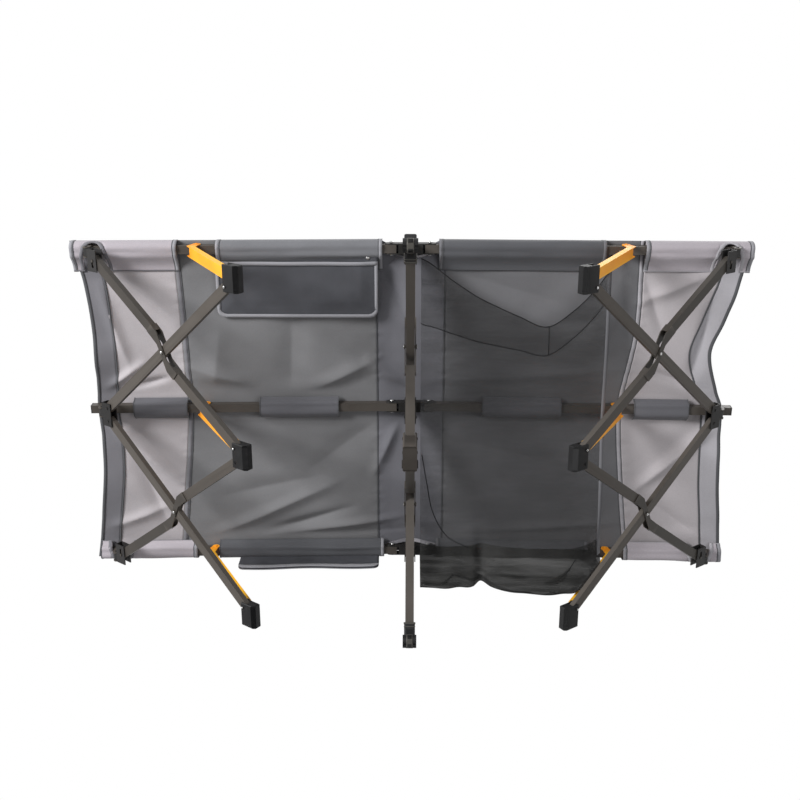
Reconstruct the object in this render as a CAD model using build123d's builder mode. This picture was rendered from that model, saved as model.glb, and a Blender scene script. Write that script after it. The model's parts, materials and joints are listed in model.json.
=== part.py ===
"""Double folding camp cot, standing on its feet.

X runs along the bed, Y across it and Z up; the origin is on the floor under the
middle of the cot.  Three rails carry the bed fabric.  Each rail is hinged at a
hub in the middle, three sets of crossed legs stand under the rails, and an
orange brace props each end foot from its rail.  All sizes are in millimetres.
"""
import os
from math import cos, hypot, radians, sin, tan

from build123d import *

# Rails
KNUCKLE_REACH = 888.0     # end knuckle from the hub pin, along the rail
RAIL_TIP = 35.5           # rail past its knuckle
RAIL_SPACING = 495.0      # outer rail centre line from the middle of the bed
RAIL_SIZE = 25.0          # square tube
RAIL_WALL = 1.2
RAIL_HEIGHT = 428.0       # rail centre line above the floor, at the hub pins
RAIL_SLOPE = 1.8          # degrees that each half falls towards its tip
HUB_PIN_REACH = 57.0      # hub pin from the middle of the bed
RAIL_TAIL = 14.0          # rail past its hub pin
CAP_FLANGE = 4.0
CAP_PLUG = 22.0

# Pins and running fits
PIN_RADIUS = 4.0
PIN_FIT = 0.05
PIN_HEAD = 7.0
HEAD_THICK = 2.0
SIDE_GAP = 0.5            # between sheet-metal cheeks and the tube they hold
PLATE = 3.0               # sheet-metal thickness

# Hubs
HUB_REACH = 76.0          # half length of a hub's cheeks
HUB_TAIL_GAP = 2.0
HUB_TAB = 16.0            # half length of the tab that drops to the leg pivots
HUB_LEG_DROP = 44.0       # leg pivots below the rail centre line
EAR_RADIUS = 13.0

# Crossed legs
LEG_WIDTH = 28.0
STRAIGHT_THICK = 25.0     # middle legs, in line with the bed
FORKED_THICK = 27.0
END_STRAIGHT_THICK = 15.0 # end legs, square to their tilted plane
END_FORKED_THICK = 17.0
LEG_WALL = 1.2
LEG_PLUG = 22.0           # closed end of a tube, from its pivot
LEG_TIP = 2.0             # tube past the round of its end
YOKE_FIT = 1.0            # between a yoke and a forked leg
FORK_REACH = 55.0         # knee of a forked leg from the crossing
FORK_LAP = 23.0
FORK_JOG = 18.0           # sideways step of a forked leg at the crossing
PIVOT_OFFSET = 21.0       # paired leg pivots from the middle of the bed
PIVOT_INSET = 20.0        # outer leg pivots inside the outer rails

# Middle set
MID_FOOT_REACH = 585.0    # outer middle foot from the middle of the bed
MID_FOOT_PIVOT = 30.0     # its leg end above the floor
MID_CAP_WIDTH = 32.0
MID_CAP_DEPTH = 37.0
MID_CAP_UP = 46.0
MID_CAP_DOWN = 20.0
MID_CAP_ROUND = 5.0
MID_PAD_RADIUS = 19.0     # round pads on both sides of an outer middle foot
MID_PAD_SIDE = 4.0
MID_PAD_FLAT = 0.5        # worn off the pads by the floor
MID_BLOCK_LENGTH = 74.0
MID_BLOCK_WIDTH = 40.0

# End sets
KNUCKLE_DROP = 30.0       # knuckle pin below the rail centre line
KNUCKLE_LEG = 38.0        # leg pivot from the knuckle pin
KNUCKLE_END = 54.0
KNUCKLE_TONGUE = 9.0
KNUCKLE_FIT = 0.7
LUG_REACH = 14.0
LUG_RISE = 4.0            # lug's weld above the rail centre line
SLOT_TRAVEL = 17.0        # inward play of an outer leg pivot while folding
FOOT_REACH = 476.0        # end feet from the middle of the bed
FOOT_PIVOT = 30.0         # their leg pivots above the floor
FOOT_LENGTH = 74.0        # foot across the bed
FOOT_INSIDE = 14.0        # outer foot past its leg pivot, towards the middle of the bed
FOOT_HALF = 14.0          # half thickness of a foot, square to the legs
FOOT_TOE = 44.0           # foot past its leg pivot, in line with the legs
FOOT_HEEL = 8.0           # and before it
FOOT_SLOT = 16.0          # depth of the slot for leg ends, past the pivot
FOOT_CHAMFER = 2.0
FOOT_LUG_HALF = 2.4
FOOT_LUG_WIDTH = 10.6

# Braces
BRACE_REACH = 573.0       # brace pivot from the hub pin, along the rail
BRACE_SEAT = 68.0         # foot pin that the brace sits on, above the floor
BRACE_SEAT_RADIUS = 5.0
BRACE_SEAT_GAP = 1.3
BRACE_LIP = 1.0           # seat pin proud of the brace's end
BRACE_OFFSET = 24.0       # middle of the channel from the pivot
BRACE_DEPTH = 18.0
BRACE_SHEET = 2.5
BRACE_EAR = 12.0
BRACE_SIDE_GAP = 0.7

# Fabric
CLOTH = 1.5
CLOTH_GAP = 0.3
BED_CLOTH = 1.5
BED_HORN = 20.0           # bed corner past the rail's tip
BED_HOLLOW = 25.0         # bed end short of the centre rail's tip
BED_END_DIP = 22.0        # hollow of the bed's end edges between the rails
BED_SIDE = 24.0           # bed cloth past an outer rail's centre line
CUT_OUT_IN = 50.0         # sleeve cut out on either side of the knuckle
CUT_OUT_PAST = 18.0

# Sleeves along a rail
SLEEVE_START = 27.0       # outer sleeve from the hub pin
SLEEVE_TO_BRACE = 57.0    # its gap before and past the brace pivot
SLEEVE_PAST_BRACE = 57.0
SLEEVE_TAIL = 40.0        # its end past the knuckle
LOOP_START = 164.0        # loops of the centre rail from the hub pin
LOOP_END = 408.0
LOOP_PAST_BRACE = 56.0
LOOP_TO_KNUCKLE = 92.0

# Pockets
POCKET_WALL = 2.0
POCKET_SPACE = 6.0
POCKET_DROP = 10.0        # back wall below the rail centre line
POCKET_LIP = 34.0         # strip above the pocket's mouth
POCKET_SEAM = 9.0
POCKET_CORNER = 22.0
NORTH_POCKET = (40.0, 522.0, 192.0)   # start, end along the rail and depth
SOUTH_POCKET = (46.0, 492.0, 108.0)

# Storage net
NET_CLOTH = 2.0
NET_DROP = 62.0           # net below the rails, under the middle of the bed
# each station: reach along the bed, inset and drop of the north hem, sag under the middle,
# inset and drop of the belly beside the south rail
NET_STATIONS = (
    (95.0, 0.0, 0.0, 12.0, 80.0, 150.0),
    (150.0, 108.0, 30.0, 22.0, 60.0, 235.0),
    (270.0, 170.0, 48.0, 8.0, 52.0, 205.0),
    (390.0, 195.0, 55.0, 26.0, 50.0, 262.0),
    (490.0, 150.0, 40.0, 10.0, 56.0, 240.0),
    (585.0, 0.0, 0.0, 6.0, 75.0, 120.0),
)

SLOPE = radians(RAIL_SLOPE)
NORTH, CENTRE, SOUTH = -1, 0, 1
LEFT, RIGHT = -1, 1
ROW_NAMES = {NORTH: "north", CENTRE: "centre", SOUTH: "south"}
END_NAMES = {LEFT: "left", RIGHT: "right"}
ACROSS = Vector(0, 1, 0)
OUTER_PIVOT = RAIL_SPACING - PIVOT_INSET
RAIL_HALF = RAIL_SIZE / 2
RAIL_END = KNUCKLE_REACH + RAIL_TIP
CHEEK_IN = RAIL_HALF + SIDE_GAP
CHEEK_OUT = CHEEK_IN + PLATE
YOKE_IN = FORKED_THICK / 2 + YOKE_FIT
YOKE_OUT = YOKE_IN + PLATE
END_YOKE_IN = END_FORKED_THICK / 2 + YOKE_FIT
END_YOKE_OUT = END_YOKE_IN + PLATE
PIN_HOLE = PIN_RADIUS + PIN_FIT
LEG_END = LEG_WIDTH / 2 + LEG_TIP
SLEEVE_FACE = RAIL_HALF + CLOTH_GAP + CLOTH + CLOTH_GAP

os.makedirs("parts", exist_ok=True)


def save(builder, name):
    """Label a finished piece and write it."""
    builder.part.label = name
    export_step(builder.part, f"parts/{name}.step")


def rail_y(row):
    return row * RAIL_SPACING


def rail_along(end):
    return Vector(end * cos(SLOPE), 0, -sin(SLOPE))


def rail_down(end):
    return Vector(-end * sin(SLOPE), 0, -cos(SLOPE))


def rail_point(end, y, reach, drop=0.0):
    """Point at a distance along a rail half from its hub pin, and below its centre line."""
    pin = Vector(end * HUB_PIN_REACH, y, RAIL_HEIGHT)
    return pin + rail_along(end) * reach + rail_down(end) * drop


def rail_side(end, y):
    """Side view of a rail half: local x along it from the hub pin, local y up."""
    return Plane(rail_point(end, y, 0), x_dir=rail_along(end), z_dir=Vector(0, -end, 0))


def knuckle_pin(end, y):
    return rail_point(end, y, KNUCKLE_REACH, KNUCKLE_DROP)


def foot_pivot(end, y):
    return Vector(end * FOOT_REACH, y, FOOT_PIVOT)


def leg_fall(end):
    """Direction down an end set's leg plane, square to the bed's width."""
    return (foot_pivot(end, 0) - knuckle_pin(end, 0)).normalized()


def leg_plane(end, origin):
    """Plane of an end set's legs: local x across the bed, local y down the plane."""
    return Plane(origin, x_dir=ACROSS, z_dir=ACROSS.cross(leg_fall(end)))


def middle(a, b):
    return (a + b) * 0.5


def crossing_of(top_b, top_a, bottom_b):
    """Where a straight leg meets the forked leg that mirrors its slope."""
    share = (top_a - top_b).length / 2 / abs(bottom_b.Y - top_b.Y)
    return top_b + (bottom_b - top_b) * share


def build_rail(row, end):
    """Half a rail: square tube, with welded lugs for the leg knuckle."""
    side = rail_side(end, rail_y(row))
    with BuildPart() as rail:
        with BuildSketch(side):
            with Locations(((RAIL_END - RAIL_TAIL) / 2, 0)):
                Rectangle(RAIL_END + RAIL_TAIL, RAIL_SIZE)
        extrude(amount=RAIL_HALF, both=True)
        with BuildSketch(side):
            with Locations(((RAIL_END - RAIL_TAIL) / 2, 0)):
                Rectangle(RAIL_END + RAIL_TAIL + 2 * RAIL_SIZE, RAIL_SIZE - 2 * RAIL_WALL)
        extrude(amount=RAIL_HALF - RAIL_WALL, both=True, mode=Mode.SUBTRACT)
        for face in (1, -1):
            with BuildSketch(side.offset(face * RAIL_HALF)):
                with Locations((KNUCKLE_REACH, -KNUCKLE_DROP)):
                    Circle(LUG_REACH - PLATE)
                with Locations((KNUCKLE_REACH, (LUG_RISE - KNUCKLE_DROP) / 2)):
                    Rectangle(2 * (LUG_REACH - PLATE), KNUCKLE_DROP + LUG_RISE)
            extrude(amount=face * PLATE)
        with BuildSketch(side):
            with Locations((0, 0), (BRACE_REACH, 0), (KNUCKLE_REACH, -KNUCKLE_DROP)):
                Circle(PIN_HOLE)
        extrude(amount=RAIL_SIZE, both=True, mode=Mode.SUBTRACT)
    save(rail, f"rail_{ROW_NAMES[row]}_{END_NAMES[end]}")


def build_cap(row, end):
    """Plastic plug in a rail's tip."""
    side = rail_side(end, rail_y(row))
    inside = RAIL_SIZE - 2 * RAIL_WALL
    with BuildPart() as cap:
        with BuildSketch(side):
            with Locations((RAIL_END + CAP_FLANGE / 2, 0)):
                Rectangle(CAP_FLANGE, RAIL_SIZE)
        extrude(amount=RAIL_HALF, both=True)
        rim = cap.edges().filter_by(Axis.Y).group_by(SortBy.DISTANCE)[-1]
        fillet(rim, CAP_FLANGE / 4)
        with BuildSketch(side):
            with Locations((RAIL_END - CAP_PLUG / 2, 0)):
                Rectangle(CAP_PLUG, inside)
        extrude(amount=inside / 2, both=True)
    save(cap, f"cap_{ROW_NAMES[row]}_{END_NAMES[end]}")


def build_hub(row):
    """Middle bracket of a rail: two cheeks, two rail pins and a yoke for the legs."""
    y = rail_y(row)
    pivots = (-PIVOT_OFFSET, PIVOT_OFFSET) if row == CENTRE else (row * OUTER_PIVOT,)
    yoke_from = min(min(pivots) - LEG_END, y - CHEEK_OUT)
    yoke_to = max(max(pivots) + LEG_END, y + CHEEK_OUT)
    web_top = RAIL_HEIGHT - HUB_LEG_DROP + LEG_END + 2 * PLATE
    side = Plane((0, y, RAIL_HEIGHT), x_dir=(1, 0, 0), z_dir=(0, -1, 0))
    spacer = HUB_PIN_REACH - hypot(RAIL_TAIL, RAIL_HALF) - HUB_TAIL_GAP
    with BuildPart() as hub:
        with BuildSketch(side):
            SlotOverall(2 * HUB_REACH, 2 * RAIL_HALF)
            with Locations((0, (web_top - RAIL_HEIGHT) / 2)):
                Rectangle(2 * HUB_TAB, RAIL_HEIGHT - web_top)
        extrude(amount=CHEEK_OUT, both=True)
        with BuildSketch(side):
            with Locations((spacer + HUB_REACH, 0), (-spacer - HUB_REACH, 0)):
                Rectangle(2 * HUB_REACH, 4 * RAIL_SIZE)
            with Locations((0, -RAIL_HALF - RAIL_SIZE)):
                Rectangle(2 * spacer + 1, 2 * RAIL_SIZE)
        extrude(amount=CHEEK_IN, both=True, mode=Mode.SUBTRACT)
        yoke = Plane((0, 0, web_top), x_dir=(0, 1, 0), z_dir=(1, 0, 0))
        yoke_height = web_top - (RAIL_HEIGHT - HUB_LEG_DROP) + LEG_END
        with BuildSketch(yoke):
            with Locations(((yoke_from + yoke_to) / 2, -yoke_height / 2)):
                Rectangle(yoke_to - yoke_from, yoke_height)
        extrude(amount=YOKE_OUT, both=True)
        with BuildSketch(yoke):
            with Locations(((yoke_from + yoke_to) / 2, -PLATE - yoke_height / 2)):
                Rectangle(yoke_to - yoke_from + PLATE, yoke_height)
        extrude(amount=YOKE_IN, both=True, mode=Mode.SUBTRACT)
        with BuildSketch(yoke):
            for pivot in pivots:
                with Locations((pivot, RAIL_HEIGHT - HUB_LEG_DROP - web_top)):
                    Circle(PIN_RADIUS)
        extrude(amount=YOKE_OUT + HEAD_THICK, both=True)
        with BuildSketch(side):
            with Locations((HUB_PIN_REACH, 0), (-HUB_PIN_REACH, 0)):
                Circle(PIN_RADIUS)
        extrude(amount=CHEEK_OUT + HEAD_THICK, both=True)
        if row != CENTRE:
            with BuildSketch(Plane((0, y + row * CHEEK_OUT, RAIL_HEIGHT), x_dir=(1, 0, 0))):
                with Locations((0, row * EAR_RADIUS)):
                    Circle(EAR_RADIUS)
                with Locations((0, row * EAR_RADIUS / 2)):
                    Rectangle(2 * EAR_RADIUS, EAR_RADIUS)
            extrude(amount=PLATE, both=True)
    save(hub, f"hub_{ROW_NAMES[row]}")


def build_knuckle(row, end):
    """Tilting clevis under a rail that carries the tops of the end legs."""
    y = rail_y(row)
    pin = knuckle_pin(end, y)
    plane = leg_plane(end, pin)
    tilt = Plane(pin, x_dir=leg_fall(end), z_dir=ACROSS)
    tongue_half = RAIL_HALF - KNUCKLE_FIT
    if row == CENTRE:
        pivots = (-PIVOT_OFFSET, PIVOT_OFFSET)
        yoke_from, yoke_to = -PIVOT_OFFSET - LEG_END, PIVOT_OFFSET + LEG_END
    else:
        inward = sorted((row * (LEG_END - PIVOT_INSET), -row * (PIVOT_INSET + SLOT_TRAVEL + LEG_END)))
        pivots = ()
        yoke_from = min(inward[0], -tongue_half)
        yoke_to = max(inward[1], tongue_half)
    web = KNUCKLE_LEG - LEG_END - 2 * PLATE
    with BuildPart() as knuckle:
        with BuildSketch(tilt):
            Circle(KNUCKLE_TONGUE)
            with Locations((web / 2, 0)):
                Rectangle(web, 2 * KNUCKLE_TONGUE)
        extrude(amount=tongue_half, both=True)
        with BuildSketch(plane):
            with Locations(((yoke_from + yoke_to) / 2, (web + KNUCKLE_END) / 2)):
                Rectangle(yoke_to - yoke_from, KNUCKLE_END - web)
        extrude(amount=END_YOKE_OUT, both=True)
        with BuildSketch(plane):
            with Locations(((yoke_from + yoke_to) / 2, PLATE + (web + KNUCKLE_END) / 2)):
                Rectangle(yoke_to - yoke_from + PLATE, KNUCKLE_END - web)
        extrude(amount=END_YOKE_IN, both=True, mode=Mode.SUBTRACT)
        if row == CENTRE:
            with BuildSketch(plane):
                for pivot in pivots:
                    with Locations((pivot, KNUCKLE_LEG)):
                        Circle(PIN_RADIUS)
            extrude(amount=END_YOKE_OUT + HEAD_THICK, both=True)
        else:
            with BuildSketch(plane):
                with Locations((-row * (PIVOT_INSET + SLOT_TRAVEL / 2), KNUCKLE_LEG)):
                    SlotCenterToCenter(SLOT_TRAVEL, 2 * (PIN_HOLE + SIDE_GAP))
            extrude(amount=2 * END_YOKE_OUT, both=True, mode=Mode.SUBTRACT)
        with BuildSketch(tilt):
            Circle(PIN_RADIUS)
        extrude(amount=RAIL_HALF + PLATE + HEAD_THICK, both=True)
    save(knuckle, f"knuckle_{ROW_NAMES[row]}_{END_NAMES[end]}")


def build_straight_leg(name, top, bottom, crossing, normal, thick, bottom_hole):
    """Straight leg tube: closed and drilled at its top, drilled at the crossing."""
    plane = Plane(top, x_dir=bottom - top, z_dir=normal)
    length = (bottom - top).length
    holes = [0.0, (crossing - top).length]
    if bottom_hole:
        holes.append(length)
    with BuildPart() as leg:
        with BuildSketch(plane):
            with Locations((length / 2, 0)):
                SlotCenterToCenter(length, LEG_WIDTH)
        extrude(amount=thick / 2, both=True)
        with BuildSketch(plane):
            with Locations((LEG_PLUG + length / 2, 0)):
                Rectangle(length, LEG_WIDTH - 2 * LEG_WALL)
        extrude(amount=thick / 2 - LEG_WALL, both=True, mode=Mode.SUBTRACT)
        with BuildSketch(plane):
            for hole in holes:
                with Locations((hole, 0)):
                    Circle(PIN_HOLE)
        extrude(amount=thick, both=True, mode=Mode.SUBTRACT)
    save(leg, name)


def build_forked_leg(name, top, bottom, crossing, normal, outward, thick, top_pin):
    """Leg in two tubes, stepped sideways at a two-plate fork that spans the straight leg."""
    axis = (bottom - top).normalized()
    sideways = normal.cross(axis)
    if sideways.dot(outward) < 0:
        normal = normal * -1
        sideways = sideways * -1
    knee_top = crossing - axis * FORK_REACH + sideways * FORK_JOG
    knee_bottom = crossing + axis * FORK_REACH - sideways * FORK_JOG
    half = LEG_WIDTH / 2
    lap = FORK_REACH + FORK_LAP
    neck = FORK_REACH - half / 2
    throat = FORK_REACH - LEG_WIDTH
    outline = (
        (-lap, FORK_JOG + half),
        (-neck, FORK_JOG + half),
        (throat, half - FORK_JOG),
        (lap, half - FORK_JOG),
        (lap, -half - FORK_JOG),
        (neck, -half - FORK_JOG),
        (-throat, FORK_JOG - half),
        (-lap, FORK_JOG - half),
    )
    fork = Plane(crossing, x_dir=axis, z_dir=normal)
    face = thick / 2
    with BuildPart() as leg:
        for start, knee in ((top, knee_top), (bottom, knee_bottom)):
            plane = Plane(start, x_dir=knee - start, z_dir=normal)
            length = (knee - start).length
            with BuildSketch(plane):
                Circle(half)
                with Locations((length / 2, 0)):
                    Rectangle(length, LEG_WIDTH)
            extrude(amount=face, both=True)
            with BuildSketch(plane):
                with Locations((LEG_PLUG + length / 2, 0)):
                    Rectangle(length, LEG_WIDTH - 2 * LEG_WALL)
            extrude(amount=face - LEG_WALL, both=True, mode=Mode.SUBTRACT)
        for front in (1, -1):
            with BuildSketch(fork.offset(front * face)):
                with BuildLine():
                    Polyline(*outline, close=True)
                make_face()
            extrude(amount=front * PLATE)
        with BuildSketch(fork):
            Circle(PIN_RADIUS)
        extrude(amount=face + PLATE, both=True)
        for front in (1, -1):
            with BuildSketch(fork.offset(front * (face + PLATE))):
                Circle(PIN_HEAD)
            extrude(amount=front * HEAD_THICK)
        with BuildSketch(Plane(bottom, x_dir=axis, z_dir=normal)):
            Circle(PIN_HOLE)
        extrude(amount=thick, both=True, mode=Mode.SUBTRACT)
        with BuildSketch(Plane(top, x_dir=axis, z_dir=normal)):
            Circle(PIN_RADIUS if top_pin else PIN_HOLE)
        if top_pin:
            extrude(amount=END_YOKE_OUT + HEAD_THICK, both=True)
        else:
            extrude(amount=thick, both=True, mode=Mode.SUBTRACT)
    save(leg, name)


def build_end_foot(row, end):
    """Plastic end foot: block, yoke for the leg ends and a lug with the brace's seat pin."""
    y = rail_y(row)
    leg_ys = (-PIVOT_OFFSET, PIVOT_OFFSET) if row == CENTRE else (row * OUTER_PIVOT,)
    plane = leg_plane(end, foot_pivot(end, 0))
    middle = y if row == CENTRE else row * (OUTER_PIVOT - FOOT_INSIDE + FOOT_LENGTH / 2)
    side = Plane((end * FOOT_REACH, y, 0), x_dir=(end, 0, 0), z_dir=(0, -end, 0))
    lug = FOOT_LUG_WIDTH / 2
    with BuildPart() as foot:
        with BuildSketch(plane):
            with Locations((middle, (FOOT_TOE - FOOT_HEEL) / 2)):
                Rectangle(FOOT_LENGTH, FOOT_TOE + FOOT_HEEL)
        extrude(amount=FOOT_HALF, both=True)
        chamfer(foot.edges(), FOOT_CHAMFER)
        with BuildSketch(side):
            with BuildLine():
                Polyline((-3 * lug, FOOT_PIVOT), (0, FOOT_PIVOT + FOOT_HALF), (lug, BRACE_SEAT),
                         (-lug, BRACE_SEAT), close=True)
            make_face()
            with Locations((0, BRACE_SEAT)):
                Circle(lug)
        extrude(amount=FOOT_LUG_HALF, both=True)
        with BuildSketch(plane):
            with Locations((middle, FOOT_SLOT - LEG_WIDTH)):
                Rectangle(2 * FOOT_LENGTH, 2 * LEG_WIDTH)
        extrude(amount=END_YOKE_IN, both=True, mode=Mode.SUBTRACT)
        with BuildSketch(Plane((end * FOOT_REACH, middle, 0))):
            Rectangle(4 * FOOT_TOE, 2 * FOOT_LENGTH)
        extrude(amount=-FOOT_TOE, mode=Mode.SUBTRACT)
        with BuildSketch(plane):
            for leg_y in leg_ys:
                with Locations((leg_y, 0)):
                    Circle(PIN_RADIUS)
        extrude(amount=FOOT_HALF + HEAD_THICK, both=True)
        with BuildSketch(side):
            with Locations((0, BRACE_SEAT)):
                Circle(BRACE_SEAT_RADIUS)
        extrude(amount=CHEEK_OUT + HEAD_THICK, both=True)
    save(foot, f"foot_{ROW_NAMES[row]}_{END_NAMES[end]}")


def build_brace(row, end):
    """Orange channel hinged on a rail, with a saddle that sits on the foot's seat pin."""
    y = rail_y(row)
    pivot = rail_point(end, y, BRACE_REACH)
    seat = Vector(end * FOOT_REACH, y, BRACE_SEAT)
    reach = (seat - pivot).length
    length = (reach ** 2 - BRACE_OFFSET ** 2) ** 0.5
    slant = (seat - pivot).normalized()
    square = ACROSS.cross(slant) * -end
    along = slant * (length / reach) - square * (BRACE_OFFSET / reach)
    side = Plane(pivot, x_dir=along, z_dir=along.cross(slant))
    lift = 1 if side.to_local_coords(seat).Y > 0 else -1
    flange_in = RAIL_HALF + BRACE_SIDE_GAP
    flange_out = flange_in + BRACE_SHEET
    near = lift * (BRACE_OFFSET - BRACE_DEPTH / 2)
    far = lift * (BRACE_OFFSET + BRACE_DEPTH / 2)
    tip = length + BRACE_SEAT_RADIUS - BRACE_LIP
    shoulder = 3 * BRACE_EAR
    with BuildPart() as brace:
        with BuildSketch(side):
            Circle(BRACE_EAR)
            with BuildLine():
                Polyline((0, -lift * BRACE_EAR), (shoulder, near), (tip, near), (tip, far),
                         (BRACE_EAR, far), (-BRACE_EAR, 0), close=True)
            make_face()
        extrude(amount=flange_out, both=True)
        with BuildSketch(side):
            with Locations((tip / 2, far - lift * (BRACE_SHEET + RAIL_SIZE))):
                Rectangle(2 * tip, 2 * RAIL_SIZE)
            with Locations((0, 0)):
                Rectangle(2 * shoulder, 4 * RAIL_SIZE)
            with Locations((tip, far)):
                Rectangle(2 * BRACE_EAR, 2 * BRACE_DEPTH)
        extrude(amount=flange_in, both=True, mode=Mode.SUBTRACT)
        with BuildSketch(side):
            with Locations((length, lift * BRACE_OFFSET)):
                Circle(BRACE_SEAT_RADIUS + BRACE_SEAT_GAP)
            with Locations((length + BRACE_DEPTH / 2, lift * BRACE_OFFSET)):
                Rectangle(BRACE_DEPTH, 2 * (BRACE_SEAT_RADIUS + BRACE_SEAT_GAP))
        extrude(amount=2 * flange_out, both=True, mode=Mode.SUBTRACT)
        with BuildSketch(side):
            Circle(PIN_RADIUS)
        extrude(amount=flange_out + HEAD_THICK, both=True)
    save(brace, f"brace_{ROW_NAMES[row]}_{END_NAMES[end]}")


def build_mid_cap(row, top, bottom):
    """Outer foot of the middle set: a cap on the leg's end, between two round pads on the floor."""
    axis = (bottom - top).normalized()
    plane = Plane(bottom, x_dir=(1, 0, 0), z_dir=axis)
    pad_height = MID_PAD_RADIUS - MID_PAD_FLAT
    with BuildPart() as cap:
        with BuildSketch(Plane((0, bottom.Y, pad_height), x_dir=(0, 1, 0), z_dir=(1, 0, 0))):
            Circle(MID_PAD_RADIUS)
        extrude(amount=MID_CAP_WIDTH / 2 + MID_PAD_SIDE, both=True)
        with BuildSketch(plane.offset(-MID_CAP_UP)):
            RectangleRounded(MID_CAP_WIDTH, MID_CAP_DEPTH, MID_CAP_ROUND)
        extrude(amount=MID_CAP_UP + MID_CAP_DOWN)
        with BuildSketch(plane.offset(-MID_CAP_UP)):
            Rectangle(STRAIGHT_THICK, LEG_WIDTH)
        extrude(amount=MID_CAP_UP + LEG_WIDTH / 2, mode=Mode.SUBTRACT)
        with BuildSketch(Plane((0, bottom.Y, 0))):
            Rectangle(4 * MID_CAP_WIDTH, 8 * MID_CAP_DEPTH)
        extrude(amount=-4 * MID_CAP_DEPTH, mode=Mode.SUBTRACT)
    save(cap, f"mid_foot_{ROW_NAMES[row]}")


def build_mid_block(pivot_height):
    """Centre foot of the middle set: tall block with a yoke for the two forked legs."""
    plane = Plane((0, 0, 0), x_dir=(0, 1, 0), z_dir=(1, 0, 0))
    floor = pivot_height - LEG_END
    top = pivot_height + LEG_END / 2
    with BuildPart() as block:
        with BuildSketch(Plane.XY):
            RectangleRounded(MID_BLOCK_WIDTH, MID_BLOCK_LENGTH, MID_CAP_ROUND)
        extrude(amount=top)
        with BuildSketch(plane):
            with Locations((0, floor + pivot_height)):
                Rectangle(2 * MID_BLOCK_LENGTH, 2 * pivot_height)
        extrude(amount=YOKE_IN, both=True, mode=Mode.SUBTRACT)
        with BuildSketch(plane):
            with Locations((-PIVOT_OFFSET, pivot_height), (PIVOT_OFFSET, pivot_height)):
                Circle(PIN_RADIUS)
        extrude(amount=MID_BLOCK_WIDTH / 2 + HEAD_THICK, both=True)
    save(block, "mid_foot_centre")


def build_sleeves(row, end):
    """Fabric sleeves sewn round a rail half, open where legs and braces reach the rail."""
    side = rail_side(end, rail_y(row))
    inner = RAIL_HALF + CLOTH_GAP
    outer = inner + CLOTH
    cut_start = KNUCKLE_REACH - CUT_OUT_IN
    cut_end = KNUCKLE_REACH + CUT_OUT_PAST
    if row == CENTRE:
        spans = ((LOOP_START, LOOP_END), (BRACE_REACH + LOOP_PAST_BRACE, KNUCKLE_REACH - LOOP_TO_KNUCKLE))
    else:
        spans = ((SLEEVE_START, BRACE_REACH - SLEEVE_TO_BRACE),
                 (BRACE_REACH + SLEEVE_PAST_BRACE, KNUCKLE_REACH + SLEEVE_TAIL))
    with BuildPart() as sleeves:
        for start, finish in spans:
            with BuildSketch(side):
                with Locations(((start + finish) / 2, 0)):
                    Rectangle(finish - start, 2 * outer)
            extrude(amount=outer, both=True)
        with BuildSketch(side):
            with Locations((RAIL_END / 2, 0)):
                Rectangle(2 * RAIL_END, 2 * inner)
        extrude(amount=inner, both=True, mode=Mode.SUBTRACT)
        if row != CENTRE:
            with BuildSketch(side):
                with Locations(((cut_start + cut_end) / 2, LUG_RISE + CLOTH - RAIL_SIZE)):
                    Rectangle(cut_end - cut_start, 2 * RAIL_SIZE)
            extrude(amount=RAIL_SIZE, both=True, mode=Mode.SUBTRACT)
    save(sleeves, f"sleeves_{ROW_NAMES[row]}_{END_NAMES[end]}")


def build_bed(end):
    """Half of the bed fabric, stretched over the rails, with hollow end edges."""
    top = Plane(rail_point(end, 0, 0, -SLEEVE_FACE), x_dir=rail_along(end), z_dir=rail_down(end) * -1)
    edge = RAIL_SPACING + BED_SIDE
    start = (CLOTH_GAP - HUB_PIN_REACH) / cos(SLOPE)
    corner = RAIL_END + BED_HORN
    centre = RAIL_END - BED_HOLLOW
    hollow = (corner + centre) / 2 - BED_END_DIP
    with BuildPart() as bed:
        with BuildSketch(top):
            with BuildLine():
                Line((start, edge), (start, -edge))
                Line((start, -edge), (corner, -edge))
                ThreePointArc((corner, -edge), (hollow, -edge / 2), (centre, 0))
                ThreePointArc((centre, 0), (hollow, edge / 2), (corner, edge))
                Line((corner, edge), (start, edge))
            make_face()
        extrude(amount=BED_CLOTH)
    save(bed, f"bed_{END_NAMES[end]}")


def build_pocket(name, plane, span, lip_side):
    """Flat pouch hung from a rail: back wall, front wall, sewn sides and bottom, open mouth."""
    start, finish, depth = span
    width = finish - start
    thick = 2 * POCKET_WALL + POCKET_SPACE
    with BuildPart() as pocket:
        with BuildSketch(plane):
            with Locations(((start + finish) / 2, depth / 2)):
                Rectangle(width, depth)
        extrude(amount=lip_side * thick)
        free = pocket.edges().filter_by(lambda e: abs(e.length - thick) < 0.01)
        free = sorted(free, key=lambda e: plane.to_local_coords(e.center()).Y)[-2:]
        fillet(free, POCKET_CORNER)
        with BuildSketch(plane.offset(lip_side * POCKET_WALL)):
            with Locations(((start + finish) / 2, depth / 2 - POCKET_SEAM)):
                RectangleRounded(width - 2 * POCKET_SEAM, depth, POCKET_CORNER - POCKET_SEAM)
        extrude(amount=lip_side * POCKET_SPACE, mode=Mode.SUBTRACT)
        with BuildSketch(plane.offset(lip_side * POCKET_WALL)):
            with Locations(((start + finish) / 2, 0)):
                Rectangle(width + 2 * POCKET_SEAM, 2 * POCKET_LIP)
        extrude(amount=lip_side * thick, mode=Mode.SUBTRACT)
    save(pocket, name)


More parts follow.
